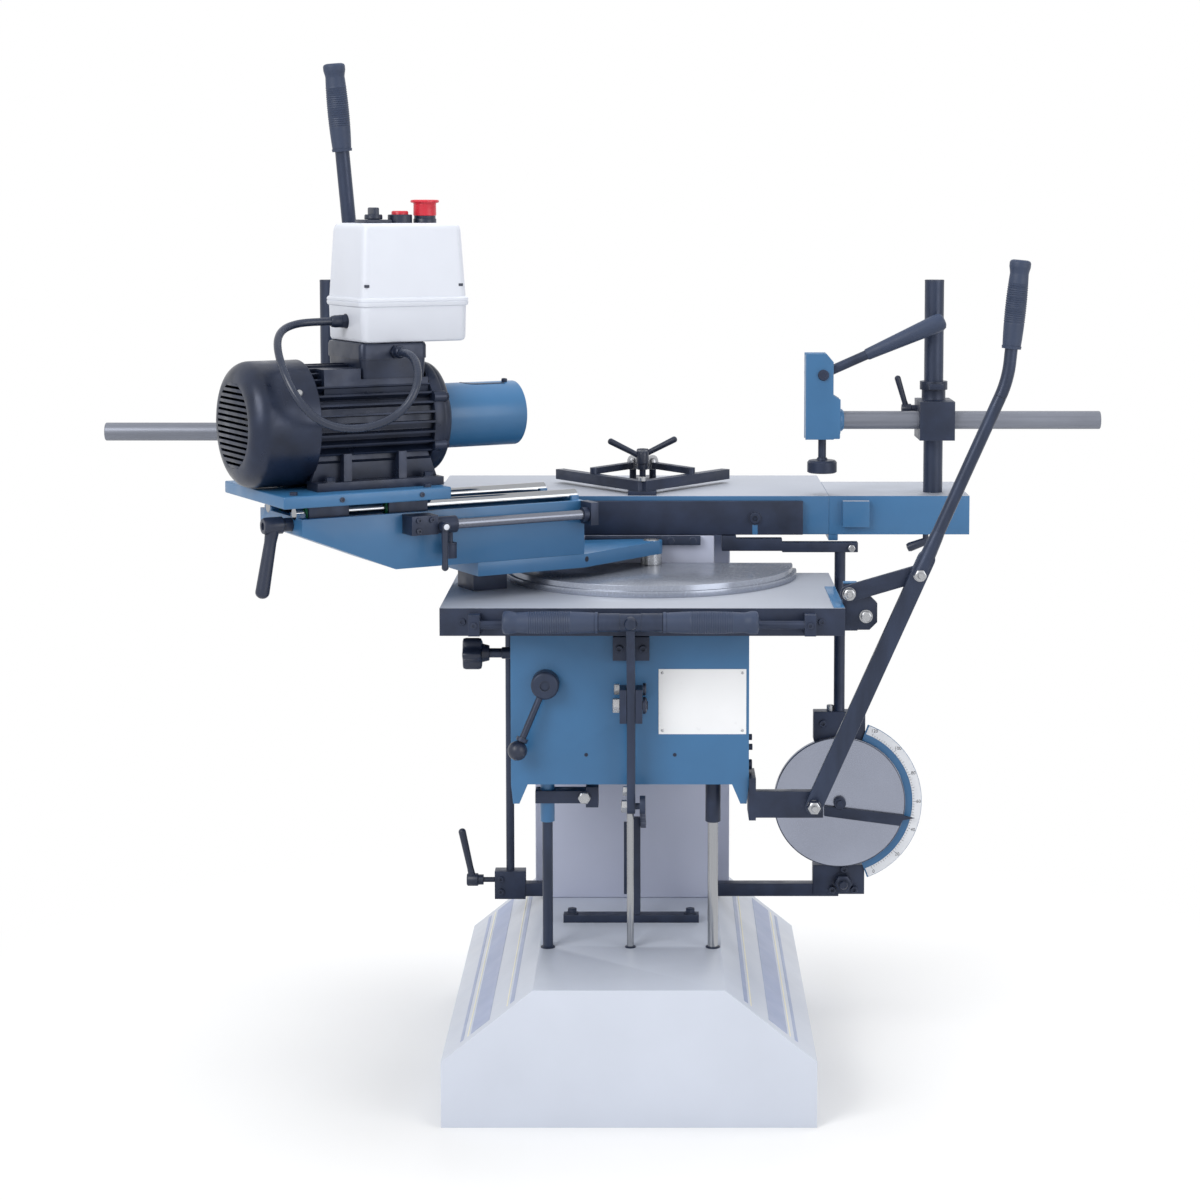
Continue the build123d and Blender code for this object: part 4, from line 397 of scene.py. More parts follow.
    def socket_screw(self, start, axis, radius, height):
        """A round screw head with a recess."""
        cut, well, bed = radius * 0.12, radius * 0.52, height * 0.45
        profile = [(0, radius), (height - cut, radius), (height, radius - cut), (height, well)]
        return self.solid(profile + [(bed, well * 0.96)], start, axis, 24)

    def done(self, replaced=None):
        data = bpy.data.meshes.new(self.name)
        bmesh.ops.remove_doubles(self.mesh, verts=self.mesh.verts, dist=1e-7)
        bmesh.ops.recalc_face_normals(self.mesh, faces=self.mesh.faces)
        self.mesh.to_mesh(data)
        self.mesh.free()
        return settle(data, self.body, self.finish, replaced)


def settle(data, body, finish, replaced=None):
    """Makes an object of a mesh, shades it, gives it its material and makes it ride on its body."""
    made = bpy.data.objects.new(data.name, data)
    bpy.context.scene.collection.objects.link(made)
    for polygon in data.polygons:
        polygon.use_smooth = True
    data.set_sharp_from_angle(angle=math.radians(35))
    data.materials.clear()
    data.materials.append(look[finish])
    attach(made, body)
    if replaced:
        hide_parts(replaced)
    return made


def dressed(node, finish, round_off, top=None):
    """A copy of a CAD node with its sharp edges rounded off, which is shown in its place."""
    shape = bmesh.new()
    shape.from_mesh(nodes[node].data)
    bmesh.ops.remove_doubles(shape, verts=shape.verts, dist=1e-6)
    bmesh.ops.dissolve_limit(shape, angle_limit=math.radians(1), verts=shape.verts, edges=shape.edges)
    least = math.radians(32)
    sharp = [edge for edge in shape.edges if edge.is_manifold and edge.calc_face_angle(0.0) > least]
    bevelled(shape, sharp, round_off, clamp_overlap=True)
    data = bpy.data.meshes.new(node + "_form")
    shape.to_mesh(data)
    shape.free()
    settle(data, nodes[node]["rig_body"], finish, node)
    if top:
        data.materials.append(look[top])
        for polygon in data.polygons:
            if polygon.normal.dot(UP) > 0.96:
                polygon.material_index = 1


def kept(node, finish):
    """A CAD node that stays as it is, with a finished material."""
    nodes[node].data.materials.clear()
    nodes[node].data.materials.append(look[finish])


def hand_grip(name, body, length, radius, foot, way):
    """A rubber grip from its ring to its flared end: swelling middle, ribs and a rounded cap."""
    steps, collar, cap_length, rib_height, rib_pitch = 120, 4.2, 5.0, 0.5, 3.2
    profile = [(0, radius * 0.90), (4, radius * 0.93), (collar, radius * 0.86)]
    for step in range(4, steps + 1):
        share = step / steps
        along = collar + (length - collar) * share
        swell = 0.86 + 0.12 * math.sin(math.pi * min(share / 0.86, 1.0)) ** 0.8
        flare = 0.14 * max(0.0, min(1.0, (share - 0.84) / 0.08))
        reach = radius * (swell + flare)
        if 0.26 < share < 0.72:
            reach += rib_height * math.cos(2 * math.pi * along / rib_pitch)
        cap = max(0.0, (along - (length - cap_length)) / cap_length)
        reach -= radius * 0.32 * (1 - math.sqrt(max(0.0, 1 - cap * cap)))
        profile.append((along, reach))
    Piece(name, body, "grip_rubber").solid(profile, foot, way, 56).done()


def lever_handle(piece, foot, axis, tip, r, h, slim=0.48):
    """A clamping lever: a stepped hub of radius r and height h, and a tapering handle to a round tip."""
    foot, along = Vector(foot), Vector(axis)
    hub = [(0, r * 0.80), (h * 0.30, r * 0.80), (h * 0.34, r), (h * 0.92, r), (h, r * 0.86), (h, r * 0.45)]
    piece.solid(hub + [(h * 0.93, r * 0.42)], foot, along, 32)
    neck = foot + along * h * 0.64
    run = Vector(tip) - neck
    blade = []
    for step in range(17):
        share = step / 16
        wide = r * slim * (1.30 - 0.30 * min(1.0, 4 * share) + 0.22 * share)
        blade.append((run.length * share, wide))
    end = blade[-1][1]
    for step in range(1, 6):
        turn = math.pi / 2 * step / 6
        blade.append((run.length + end * 0.9 * math.sin(turn), end * math.cos(turn)))
    return piece.solid(blade + [(run.length + end * 0.9, 0)], neck, run, 24)


# Stand: plinth with its stripes, column, rods
def stand():
    dressed("base", "grey_paint", 4)
    dressed("column", "column_paint", 2.5)
    low, high = box_of("base")
    side_height, top_half = 93, 132.5
    slope = Vector((high.x - top_half, 0, high.z - side_height))
    margin, sunk, proud = 22, 0.2, 0.3
    # Shares of the slope, from its foot, that each colour covers
    stripes = {
        "stripe_blue": ((0.20, 0.235), (0.315, 0.52), (0.745, 0.79)),
        "stripe_cream": ((0.278, 0.292), (0.705, 0.719)),
    }
    for finish, bands in stripes.items():
        piece = Piece("plinth_" + finish, "frame", finish)
        for side, (start, end) in product((-1, 1), bands):
            rise = Vector((-side * slope.x, 0, slope.z)).normalized()
            outward = Vector((side * slope.z, 0, slope.x)).normalized()
            where = Matrix.Translation((side * high.x, 0, side_height)) @ axes(rise, -side * BACK, outward)
            foot = (start * slope.length, low.y + margin, -sunk)
            piece.box(foot, (end * slope.length, high.y - margin, proud), 0, where)
        piece.done()
    grommets = Piece("rod_grommets", "frame", "black_plastic")
    rods = (("chrome_rods", 0, 5), ("chrome_rods", 120, 7.5), ("guide_rod_left", -120, 7.5))
    for node, x, radius in rods:
        hole, outer = radius + 0.1, radius + 3
        profile = [(0, hole), (0, outer), (1, outer), (2, radius + 1.5), (2, hole)]
        grommets.ring(profile, (x, middle_of(node).y, high.z), UP, 36)
    grommets.done()
    kept("chrome_rods", "chrome")
    kept("guide_rod_left", "lever_steel")
    kept("strut_cylinder", "black_steel")
    dressed("stop_upright", "black_steel", 1)
    seam = Piece("column_weld", "frame", "grey_paint")
    column_low, column_high = box_of("column")
    width, setback, depth, height = 45, 60, 11, 4
    y = column_low.y + setback
    for x in (column_low.x, column_high.x - width):
        seam.box((x, y, high.z), (x + width, y + depth, high.z + height), 1.8)
    seam.done()


# Table: ground top, black front plate, wings, posts
def table():
    dressed("table_top", "blue_paint", 1.2, top="ground_iron")
    dressed("table_wings", "blue_paint", 3, top="ground_iron")
    dressed("table_front_plate", "black_steel", 1)
    kept("clamp_posts", "lever_steel")
    posts = Piece("post_ends", "frame", "lever_steel")
    low, high = box_of("clamp_posts")
    r, bore = 15, 10.5
    end = [(0, r), (0, r + 0.2), (1.8, r + 0.2), (3, r - 1), (3, bore), (-12, bore)]
    for x in (low.x + r, high.x - r):
        posts.turned(end, (x, middle_of("clamp_posts").y, high.z - 3), UP, 48)
    posts.done()
    tabs = Piece("wing_tabs", "frame", "blue_paint")
    tabs.box((304, 146, 753.5), (319, 300, 770), 1.5)
    tabs.box((186, 132.6, 764.5), (194, 133.2, 783), 0.2).done()
    peg = Piece("wing_peg", "frame", "black_plastic")
    x, y = 455, 150
    peg.bar((x, y, 752), (x, y, 764), 4.5)
    handle = [(0, 5.5), (2, 6), (28, 7.2), (32, 5.8), (33, 0)]
    peg.solid(handle, (x + 2, y, 752.5), (-30, 0, -11), 28).done()


# Bolts of the frame, in place of the plain heads
def frame_bolts():
    bolts = Piece("frame_bolt_heads", "frame", "black_steel")
    low, high = box_of("stop_upright")
    inset, bar_height = 13, 11.5
    for x in (low.x + inset, high.x - inset):
        bolts.bolt((x, (low.y + high.y) / 2, low.z + bar_height), UP, 9.5, 1.6, 13, 6.5)
    for x in (-190, 190):
        place = (x, 133, 790)
        bolts.ring([(0, 4.6), (0, 10.5), (1.2, 10.5), (1.2, 4.6)], place, FRONT, 36)
        bolts.socket_screw(place, FRONT, 8.5, 6.5)
    strip_low = box_of("table_front_plate")[0].z
    for x in (60, 94):
        bolts.hexagon((x, 118, strip_low + 6.5), FRONT, 11, 0.7)
    foot = Vector((pivot("dial_pointer_turn").x, DIAL_BACK, box_of("dial_frame")[0].z))
    bolts.nut(foot + Vector((6, 0, 24)), FRONT, 24)
    for x, rise in ((-10, 12), (24, 12), (8, 44)):
        bolts.socket_screw(foot + Vector((x, 0, rise)), FRONT, 5.5, 6)
    for x in (-26, 26):
        bolts.socket_screw((foot.x + x, DIAL_BACK, 470), FRONT, 5.5, 5)
    bolts.done("frame_bolts")


# Fence: V bars, links, bright nuts, and the two clamp levers
def fence():
    dressed("fence", "black_steel", 0.8)
    left, right = pivot("fence_handle_left_turn"), pivot("fence_handle_right_turn")
    nuts = Piece("fence_nuts", "frame", "zinc")
    dome = [(-16, 9.5), (-4, 9.5), (0, 8.8), (4, 7), (6.2, 4), (7, 0)]
    for side in (-1, 1):
        nuts.solid(dome, (left.x + side * 16, 340, box_of("fence")[1].z - 0.5), UP, 32)
    nuts.socket_screw((left.x, 158, 845), UP, 6.5, 6).done()
    for name, side, foot in (("left", -1, left), ("right", 1, right)):
        x, y, body = foot.x, foot.y, "fence_handle_" + name
        lever = Piece("fence_lever_" + name, body, "black_plastic")
        lever.bar((x, y, 829.3), (x, y, 851), 5)
        lever_handle(lever, (x, y, 849), UP, (x + side * 51, y, 894), 10, 30, 0.42).done(body)


# Work clamps, left and right, with the lean of their levers
def clamps():
    for name, side, lean in (("left", -1, 3), ("right", 1, 24)):
        dressed("clamp_block_" + name, "black_steel", 2.2)
        hinge = pivot(f"clamp_lever_{name}_turn")
        clamp_arm(name, side, hinge)
        clamp_lever(name, side, hinge, math.radians(lean))
        clamp_foot(name, hinge)
        block_lever(name, side)


def clamp_arm(name, side, hinge):
    """The round bar, the head of two side plates with ribs between them, and the lever's pin."""
    body, outward = "clamp_arm_" + name, side * RIGHT
    x, y, z = hinge.x, hinge.y, hinge.z - 71
    low, high = box_of(body)
    bar_start = 15.5
    length = abs((high.x if side > 0 else low.x) - x) - bar_start
    end = [(0, 14), (length - 1, 14), (length, 13.2), (length, 10.5), (length - 14.5, 10.5)]
    bar = Piece("clamp_bar_" + name, body, "bar_steel")
    bar.solid(end, (x + side * bar_start, y, z), outward, 48).done(body)
    head = Piece("clamp_head_" + name, body, "blue_paint")
    outline = [(-27, -29), (16, -29), (27, -19), (27, 33), (16, 40), (16, 91), (5, 104), (-27, 104)]
    points = [(side * along, rise) for along, rise in outline][::side]
    for depth in (-11, 20):
        head.prism(points, Matrix.Translation((x, y + depth, z)) @ FACE, 9, 1.5)
    half = 19.5
    ribs = ((10, 26.5, -28, 29, 2), (-26.5, -21, -28, 101, 1.5), (-14, 14, -28.8, -7, 2))
    for inner, outer, bottom, top, round_off in ribs:
        near, far = sorted((x + side * inner, x + side * outer))
        head.box((near, y - half, z + bottom), (far, y + half, z + top), round_off)
    head.ring([(0, 14.2), (0, 18), (3, 17.2), (6, 14.2)], (x + side * 27, y, z), outward).done()
    pin = Piece("clamp_pin_" + name, body, "black_steel")
    pin.bar(hinge + FRONT * 23.5, hinge + BACK * 23.5, 5)
    for way in (FRONT, BACK):
        pin.socket_screw(hinge + way * 20, way, 8.5, 4)
    pin.done()


def clamp_lever(name, side, hinge, lean):
    body = "clamp_lever_" + name
    way = Vector((side * math.cos(lean), 0, math.sin(lean)))
    grip_foot, lap = hinge + way * 74.16, way * 10
    arm = Piece("clamp_lever_arm_" + name, body, "lever_steel")
    arm.bar(hinge + FRONT * 10.6, hinge + BACK * 10.6, 15, 40)
    arm.bar(hinge + lap, grip_foot + lap, 7.5, 36).done(body)
    cone = [(0, 8.2), (2, 9), (116, 14.2), (124, 13.8), (129, 11.8), (131.5, 7.5), (132, 0)]
    Piece("clamp_grip_" + name, body, "grip_rubber").solid(cone, grip_foot, way, 48).done()


def clamp_foot(name, hinge):
    body = "clamp_foot_" + name
    low, high = box_of(body)
    foot = Vector((hinge.x, hinge.y, low.z))
    pad = Piece("clamp_pad_" + name, body, "black_steel")
    pad.solid([(0, 20.5), (1.5, 23), (16.5, 23), (19.5, 20.5), (20, 18)], foot, UP, 56)
    pad.solid([(0, 9.5), (4, 7.5), (6, 0)], foot + UP * 19.5, UP, 32)
    pad.bar(foot + UP * 18, (hinge.x, hinge.y, high.z), 6.2).done(body)


def block_lever(name, side):
    body, post_x, block_half = "block_lever_" + name, 471, 27.3
    lock = pivot(body + "_turn")
    foot = Vector((side * (post_x - block_half), lock.y, lock.z))
    handle = Piece("block_handle_" + name, body, "black_plastic")
    lever_handle(handle, foot, -side * RIGHT, foot + Vector((-side * 28.4, 0, 48)), 8, 22, 0.50).done(body)


# Depth stop at the column's left
def depth_stop():
    dressed("depth_stop", "black_steel", 1.5)
    low, high = box_of("depth_stop")
    x, y = -190, (low.y + high.y) / 2
    Piece("stop_rod", "frame", "lever_steel").bar((x, y, low.z + 44), (x, y, high.z + 0.1), 6.4).done()
    screws = Piece("stop_block_screws", "frame", "black_steel")
    for rise in (12, 32):
        screws.socket_screw((x - 14, low.y, low.z + rise), FRONT, 4.5, 4)
    screws.done()
    turn = pivot("depth_stop_lever_turn")
    face = Vector((x - 24, turn.y, turn.z))
    foot = face + LEFT * 18
    handle = Piece("stop_handle", "depth_stop_lever", "black_plastic")
    handle.bar(face + LEFT * 0.3, foot + LEFT * 2, 4)
    lever_handle(handle, foot, LEFT, foot + Vector((-33, 0, 76)), 10, 26).done("depth_stop_lever")


# Dial with its scale and hand, and where its back lies on its frame
DIAL_BACK = 130


def sector(piece, inner, outer, half_angle, where, height):
    """A flat piece of a ring, from one side of the frame's first axis to the other."""
    steps = 48
    turns = [half_angle * (2 * step / steps - 1) for step in range(steps + 1)]
    outline = [polar(outer, turn) for turn in turns] + [polar(inner, turn) for turn in reversed(turns)]
    return piece.prism(outline, where, height, 0.4)


def number(piece, value, where, size):
    """A plain number as a thin raised form."""
    letters = bpy.data.curves.new("digits", "FONT")
    letters.body = str(value)
    letters.size = size * MM
    letters.align_x = letters.align_y = "CENTER"
    letters.extrude = 0.12 * MM
    holder = bpy.data.objects.new("digits", letters)
    data = bpy.data.meshes.new_from_object(holder)
    small = bmesh.new()
    small.from_mesh(data)
    bpy.data.objects.remove(holder)
    bpy.data.meshes.remove(data)
    bpy.data.curves.remove(letters)
    return piece.join(small, where)


def dial():
    dressed("dial_frame", "black_steel", 1.5)
    centre = pivot("dial_pointer_turn")
    back = Vector((centre.x, DIAL_BACK, centre.z))
    hole, radius, thick, cut = 5.05, 102, 10, 1.2
    disc = [(0, hole), (0, radius), (thick - cut, radius), (thick, radius - cut), (thick, hole)]
    Piece("dial_plate", "frame", "dial_steel").ring(disc, back, FRONT, 128).done("dial_disc")
    # A thin black ring on the disc's front rim: painted shade of its shadowed bevel
    rim = [(0, 100.3), (0, 101.4), (0.2, 101.4), (0.2, 100.3)]
    Piece("dial_rim_painted_shade", "frame", "black_steel").ring(rim, back + FRONT * thick, FRONT, 128).done()
    scale()
    hand = Piece("dial_hand", "dial_pointer", "black_steel")
    seat = back + FRONT * (thick + 0.3)
    outline = [(-24, -4.5), (-24, -20.5), (93, -36), (98, -27), (116, -24), (98, -19.5)]
    hand.prism(outline, Matrix.Translation(seat) @ FACE, 5.8, 1.2)
    hand.solid([(0, 9.5), (7, 9.5), (8, 8.5), (8, 5.2), (10, 4.8)], seat, FRONT).done("dial_pointer")
    nubs = Piece("dial_nubs", "frame", "zinc")
    nubs.solid([(0, 5.5), (8, 5.5), (9, 4.5)], (centre.x - 14, 142, 488), UP, 24)
    nubs.hexagon((339, 132, 743.5), FRONT, 10, 6).done()


def scale():
    """The graduated arc beside the disc: a blue back, a white face, marks and numbers."""
    centre = pivot("dial_pointer_turn")
    upright = Matrix.Translation((centre.x, DIAL_BACK, centre.z)) @ FACE
    half, back_height, face_height = math.radians(70), 3.4, 0.5
    sector(Piece("scale_back", "frame", "blue_paint"), 102.2, 128, half, upright, back_height).done()
    lifted = upright @ Matrix.Translation((0, 0, back_height))
    face = Piece("scale_face", "frame", "scale_white")
    sector(face, 113.5, 127.4, half * 0.985, lifted, face_height).done()
    marks = Piece("scale_marks", "frame", "ink")
    divisions, spread, top = 60, math.radians(64), back_height + face_height
    foot, half_width, ink, number_reach, number_size = 114, 0.22, 0.15, 123, 7.2
    for step in range(divisions + 1):
        turn = spread * (2 * step / divisions - 1)
        length = 5 if step % 10 == 0 else (4.2 if step % 5 == 0 else 2.8)
        place = upright @ Matrix.Rotation(turn, 4, "Z")
        marks.box((foot, -half_width, top), (foot + length, half_width, top + ink), 0, place)
        if step % 10 == 0:
            spot = place @ Matrix.Translation((number_reach, 0, top)) @ Matrix.Rotation(-turn, 4, "Z")
            number(marks, step * 2, spot, number_size)
    marks.done()


# Knee with its plate, brackets, crank and knob
def knee():
    dressed("knee", "blue_paint", 2.5)
    dressed("knee_brackets", "black_steel", 1.2)
    low, high = box_of("knee")
    front, plate_face = low.y, low.y - 0.6
    plate = Piece("knee_plate", "knee", "plate_white")
    plate.box((41, plate_face, 519), (166, front + 0.2, 613), 0.3).done()
    rivets = Piece("knee_plate_pins", "knee", "zinc")
    for x, z in product((46.5, 160.5), (524.5, 607.5)):
        rivets.solid([(0, 2.2), (0.6, 2), (1.1, 1.2), (1.2, 0)], (x, plate_face, z), FRONT, 20)
    rivets.done()
    # Dark discs where the holes are: painted shade inside the holes
    hole_shadows = Piece("knee_hole_shadows", "knee", "motor_black", "black_steel")
    for x in (-62.4, 64.1):
        hole_shadows.solid([(0, 2.8), (0.3, 2.6)], (x, front, 489), FRONT, 24)
    hole_shadows.done()
    swing = pivot("lift_lever_swing")
    screws = Piece("knee_screws", "knee", "black_steel")
    for side in (-17, 17):
        screws.socket_screw((swing.x + side, front - 14, 644.5), FRONT, 5.5, 5)
    for y, z, radius in ((-130, 506, 4.5), (-145, 495, 4.5), (-130, 466, 7.5)):
        screws.socket_screw((high.x, y, z), RIGHT, radius, 6)
    sleeve = [(0, 7.7), (0, 10.2), (0.8, 11), (65, 11), (65, 7.7)]
    screws.ring(sleeve, (120, -122, 380.5), UP).done()
    upper, cheek = swing + Vector((0, 6, 22)), 16.5
    caps = Piece("pivot_caps", "knee", "zinc")
    caps.hexagon(swing + LEFT * cheek, LEFT, 19, 10)
    caps.hexagon(upper + LEFT * cheek, LEFT, 14, 8)
    caps.hexagon((-66, -136, 419), FRONT, 16, 8).done()
    discs = Piece("pivot_discs", "knee", "black_steel")
    discs.solid([(0, 12), (4, 12), (6, 9)], swing + RIGHT * cheek, RIGHT, 32)
    discs.solid([(0, 9), (4, 9), (5, 7)], upper + RIGHT * cheek, RIGHT, 32).done()
    dressed("fulcrum_arm", "black_steel", 1.2)
    pin = pivot("traverse_lever_swing")
    Piece("fulcrum_nut", "knee", "zinc").nut((pin.x, -188.6, pin.z), FRONT, 16).done()


def crank():
    stud = pivot("knee_crank_turn")
    seat = Vector((stud.x, -170.3, stud.z))
    hub = Piece("crank_hub", "knee_crank", "lever_steel")
    face = [(0, 18.5), (1.5, 20), (20.5, 20), (23.5, 17.8), (24, 16.5), (24, 7.5), (20.5, 7.2)]
    hub.solid(face, seat, FRONT, 56)
    middle, reach = seat + FRONT * 12, Vector((-39, -14, -92))
    way, end = reach.normalized(), middle + reach
    hub.bar(middle + way * 10, end - way * 8, 4.8)
    hub.solid([(0, 8.5), (5, 8.5), (6, 6.8)], end - way * 19.5, way, 32).done("knee_crank")
    Piece("crank_ball", "knee_crank", "black_plastic").ball(end, 14, 40).done()


def knob():
    turn = pivot("knee_knob_turn")
    seat = Vector((-170.3, turn.y, turn.z))
    shaft = [(0, 8.5), (14, 8.5), (15.2, 7.6), (15.2, 6.8), (34, 6.8)]
    Piece("knob_shaft", "knee_knob", "lever_steel").solid(shaft, seat, LEFT, 36).done("knee_knob")
    grip = Piece("knob_grip", "knee_knob", "black_plastic")
    lobes, radius, swell, steps = 5, 20.8, 3, 80
    angles = [2 * math.pi * step / steps for step in range(steps)]
    outline = [polar(radius + swell * math.cos(lobes * angle), angle) for angle in angles]
    grip.prism(outline, facing(seat + LEFT * 43, LEFT), 28, 5)
    grip.solid([(0, 11), (12, 14)], seat + LEFT * 33, LEFT, 36).done()
    end = [(0, 8.5), (0.6, 8), (0.8, 0)]
    Piece("knob_end", "knee_knob", "zinc").solid(end, seat + LEFT * 70.3, LEFT, 32).done()


# Lift lever with its cross handle, and the link to the upright
def bent_bar(piece, points, half_width, where, thickness):
    """A flat bar of even width along a bent line, with round ends."""
    line = [Vector(point) for point in points]
    runs = [(after - before).normalized() for before, after in zip(line, line[1:])]

    def flank(turn):
        found = []
        for place, point in enumerate(line):
            near = runs[max(place - 1, 0):place + 1]
            middle = sum(near, Vector((0, 0))).normalized()
            stretch = 1 / max(0.5, middle.dot(near[0]))
            found.append(point + Vector((-middle.y, middle.x)) * turn * half_width * stretch)
        return found

    def cap(centre, run):
        steps, first = 10, math.atan2(run.y, run.x) + math.pi / 2
        turns = [first - math.pi * step / steps for step in range(1, steps)]
        return [centre + Vector(polar(half_width, turn)) for turn in turns]

    outline = flank(1) + cap(line[-1], runs[-1]) + flank(-1)[::-1] + cap(line[0], -runs[0])
    return piece.prism(outline[::-1], where, thickness, 1.5)


def lift_lever():
    swing = pivot("lift_lever_swing")
    half_thick, hub, r = 6, 45, 13
    handle = Vector((swing.x, -270, 697))
    foot = Vector((swing.x, swing.y, 421))
    bar = Piece("lift_bar", "lift_lever", "lever_steel")
    route = [(foot.y, foot.z), (foot.y, 584), (foot.y - 4.5, 600.5), (handle.y, handle.z)]
    side_on = Matrix.Translation((swing.x - half_thick, 0, 0)) @ axes(BACK, UP, RIGHT)
    bent_bar(bar, route, 11, side_on, 2 * half_thick)
    bar.bar(foot + LEFT * half_thick, foot + RIGHT * 20.3, 4.5)
    sleeve = [(0, r - 0.8), (0.8, r), (30, r), (30.6, r - 0.6), (59.4, r - 0.6), (60, r)]
    sleeve += [(2 * hub - 0.8, r), (2 * hub, r - 0.8)]
    bar.solid(sleeve, handle + LEFT * hub, RIGHT, 48)
    bar.solid([(0, 9.8), (6, 9.2), (9, 7), (10.5, 0)], handle + FRONT * 8, FRONT, 32).done("lift_lever")
    for name, way in (("left", LEFT), ("right", RIGHT)):
        hand_grip("lift_grip_" + name, "lift_lever", 132, 16, handle + way * hub, way)
    screws = Piece("lift_screws", "lift_lever", "zinc")
    face = foot + LEFT * half_thick
    screws.hexagon(face, LEFT, 16, 8)
    screws.hexagon(face + UP * 22, LEFT, 12, 6).done()
    dressed("lift_link", "lever_steel", 1)


# Cross slide: plate, fittings, swivel disc, the lever that moves it, and where that lever's rear face is
LEVER_REAR = -176.3


def cross_slide():
    dressed("plate", "black_steel", 1, top="ground_iron")
    dressed("plate_fittings", "black_steel", 1.2)
    dressed("segment_disc", "disc_iron", 0.8)
    low, high = box_of("plate")
    screws = Piece("plate_screws", "plate", "black_steel")
    for x in (-235, -150, -60, 90, 180, 270):
        screws.socket_screw((x, low.y, 687.5), FRONT, 5, 2.5)
    for x in (low.x + 50, high.x - 50):
        screws.socket_screw((x, -233, 686), FRONT, 4.5, 3)
    screws.done()
    pin = pivot("traverse_link_swing")
    edge = Piece("plate_edge", "plate", "blue_paint")
    edge.box((high.x - 16, low.y + 4, high.z - 0.6), (high.x - 0.4, -20, high.z + 1.2), 0.8)
    edge.box((high.x + 0.6, -166, pin.z + 12.8), (pin.x + 12.6, -152, pin.z + 14.8), 0.8).done()
    Piece("link_nuts", "plate", "zinc").nut((pin.x, LEVER_REAR, pin.z), FRONT, 15).done()
    Piece("stop_screw", "plate", "zinc").bolt((336, -168, 688.5), FRONT, 9.5, 1.4, 14, 7).done()
    traverse_lever()
    dressed("traverse_link", "black_steel", 1.2)


def traverse_lever():
    """A flat bar that goes over into a bent rod with a grip; its points are in the plane of X and Z."""
    pin, thick = pivot("traverse_lever_swing"), 12
    foot, bend, top = Vector((pin.x, pin.z)), Vector((532, 1027)), Vector((548, 1195))
    way, rise = (bend - foot).normalized(), (top - bend).normalized()
    flat_end, grip_foot = foot + way * 400, top - rise * 125

    def spot(point):
        return Vector((point.x, LEVER_REAR - thick / 2, point.y))

    bar = Piece("traverse_bar", "traverse_lever", "lever_steel")
    where = Matrix.Translation((0, LEVER_REAR, 0)) @ FACE
    bent_bar(bar, [foot, flat_end - way * 12], 12.5, where, thick)
    cone = [(0, 11.8), (10, 11.8), (60, 9.8), (70, 9)]
    bar.solid(cone, spot(flat_end - way * 40), (way.x, 0, way.y), 36)
    corner, steps, radius = 26, 8, 9
    start, end = bend - way * corner, bend + rise * corner
    bar.bar(spot(flat_end), spot(start), radius, 36)
    shares = [step / steps for step in range(steps + 1)]
    arc = [start * (1 - share) ** 2 + bend * 2 * share * (1 - share) + end * share**2 for share in shares]
    for before, after in zip(arc, arc[1:]):
        bar.bar(spot(before), spot(after), radius, 36, 0)
        bar.ball(spot(after), radius, 36)
    bar.bar(spot(end), spot(grip_foot + rise * 5), radius, 36).done("traverse_lever")
    hand_grip("traverse_grip", "traverse_lever", 125, 15, spot(grip_foot), (rise.x, 0, rise.y))
    Piece("traverse_nut", "traverse_lever", "zinc").nut((410, LEVER_REAR - thick, 751), FRONT, 15).done()


# Swivel head, in its own frame: arm, slide housing, feed stop and the carriage lock
def head():
    dressed("swivel_arm", "blue_paint", 1.5)
    dressed("slide_housing", "blue_paint", 1.2)
    kept("slide_rails", "chrome")
    cap = Piece("swivel_cap", "head", "zinc")
    cap.solid([(0, 12.5), (0.8, 12.5), (0.8, 9.6), (1.6, 9), (1.8, 0)], (0, 0, 760.5), UP)
    cap.ring([(0, 15.8), (0, 16.3), (16, 16.3), (16, 15.8)], (0, 0, 724.3), UP, 56).done()
    feed_stop()
    # A dark disc where the hole is: painted shade inside the hole
    hole = Piece("arm_hole_shadow", "head", "motor_black", "black_steel")
    hole.solid([(0, 4.2), (0.3, 4)], (-154, -78, 752.5), (0.368, -0.930, 0), 28).done()
    feed_stop_lever()
    lock = Piece("carriage_lock_handle", "carriage_lock", "black_plastic")
    lever_handle(lock, (-600.3, -40, 829), -ALONG, (-643.9, -40, 737), 12, 42, 0.68).done("carriage_lock")


def feed_stop():
    """The stop rod with its collar, and the block's screws and ribbed knob."""
    dressed("feed_stop", "black_steel", 1)
    v, z = -100, 822
    Piece("feed_stop_rod", "head", "rod_steel").bar((-377.2, v, z), (-164.8, v, z), 7.15).done()
    fittings = Piece("feed_stop_screws", "head", "black_steel")
    for u, height in ((-440, 832), (-420, 832), (-440, 817)):
        fittings.socket_screw((u, v - 14, height), NEAR, 4, 3)
    fittings.ring([(0, 7.3), (0, 10.5), (8, 10.5), (9, 9.5), (9, 7.3)], (-174, v, z), ALONG, 32)
    ribs, pitch, crest, valley = 9, 1.9, 9.1, 8.5
    grip = [(0, 8), (1.5, crest)]
    for rib in range(ribs):
        grip += [(3 + pitch * rib, crest), (3.9 + pitch * rib, valley)]
    fittings.solid(grip + [(20.6, crest), (22, 8)], (-385, v, z - 26), DOWN, 36).done()


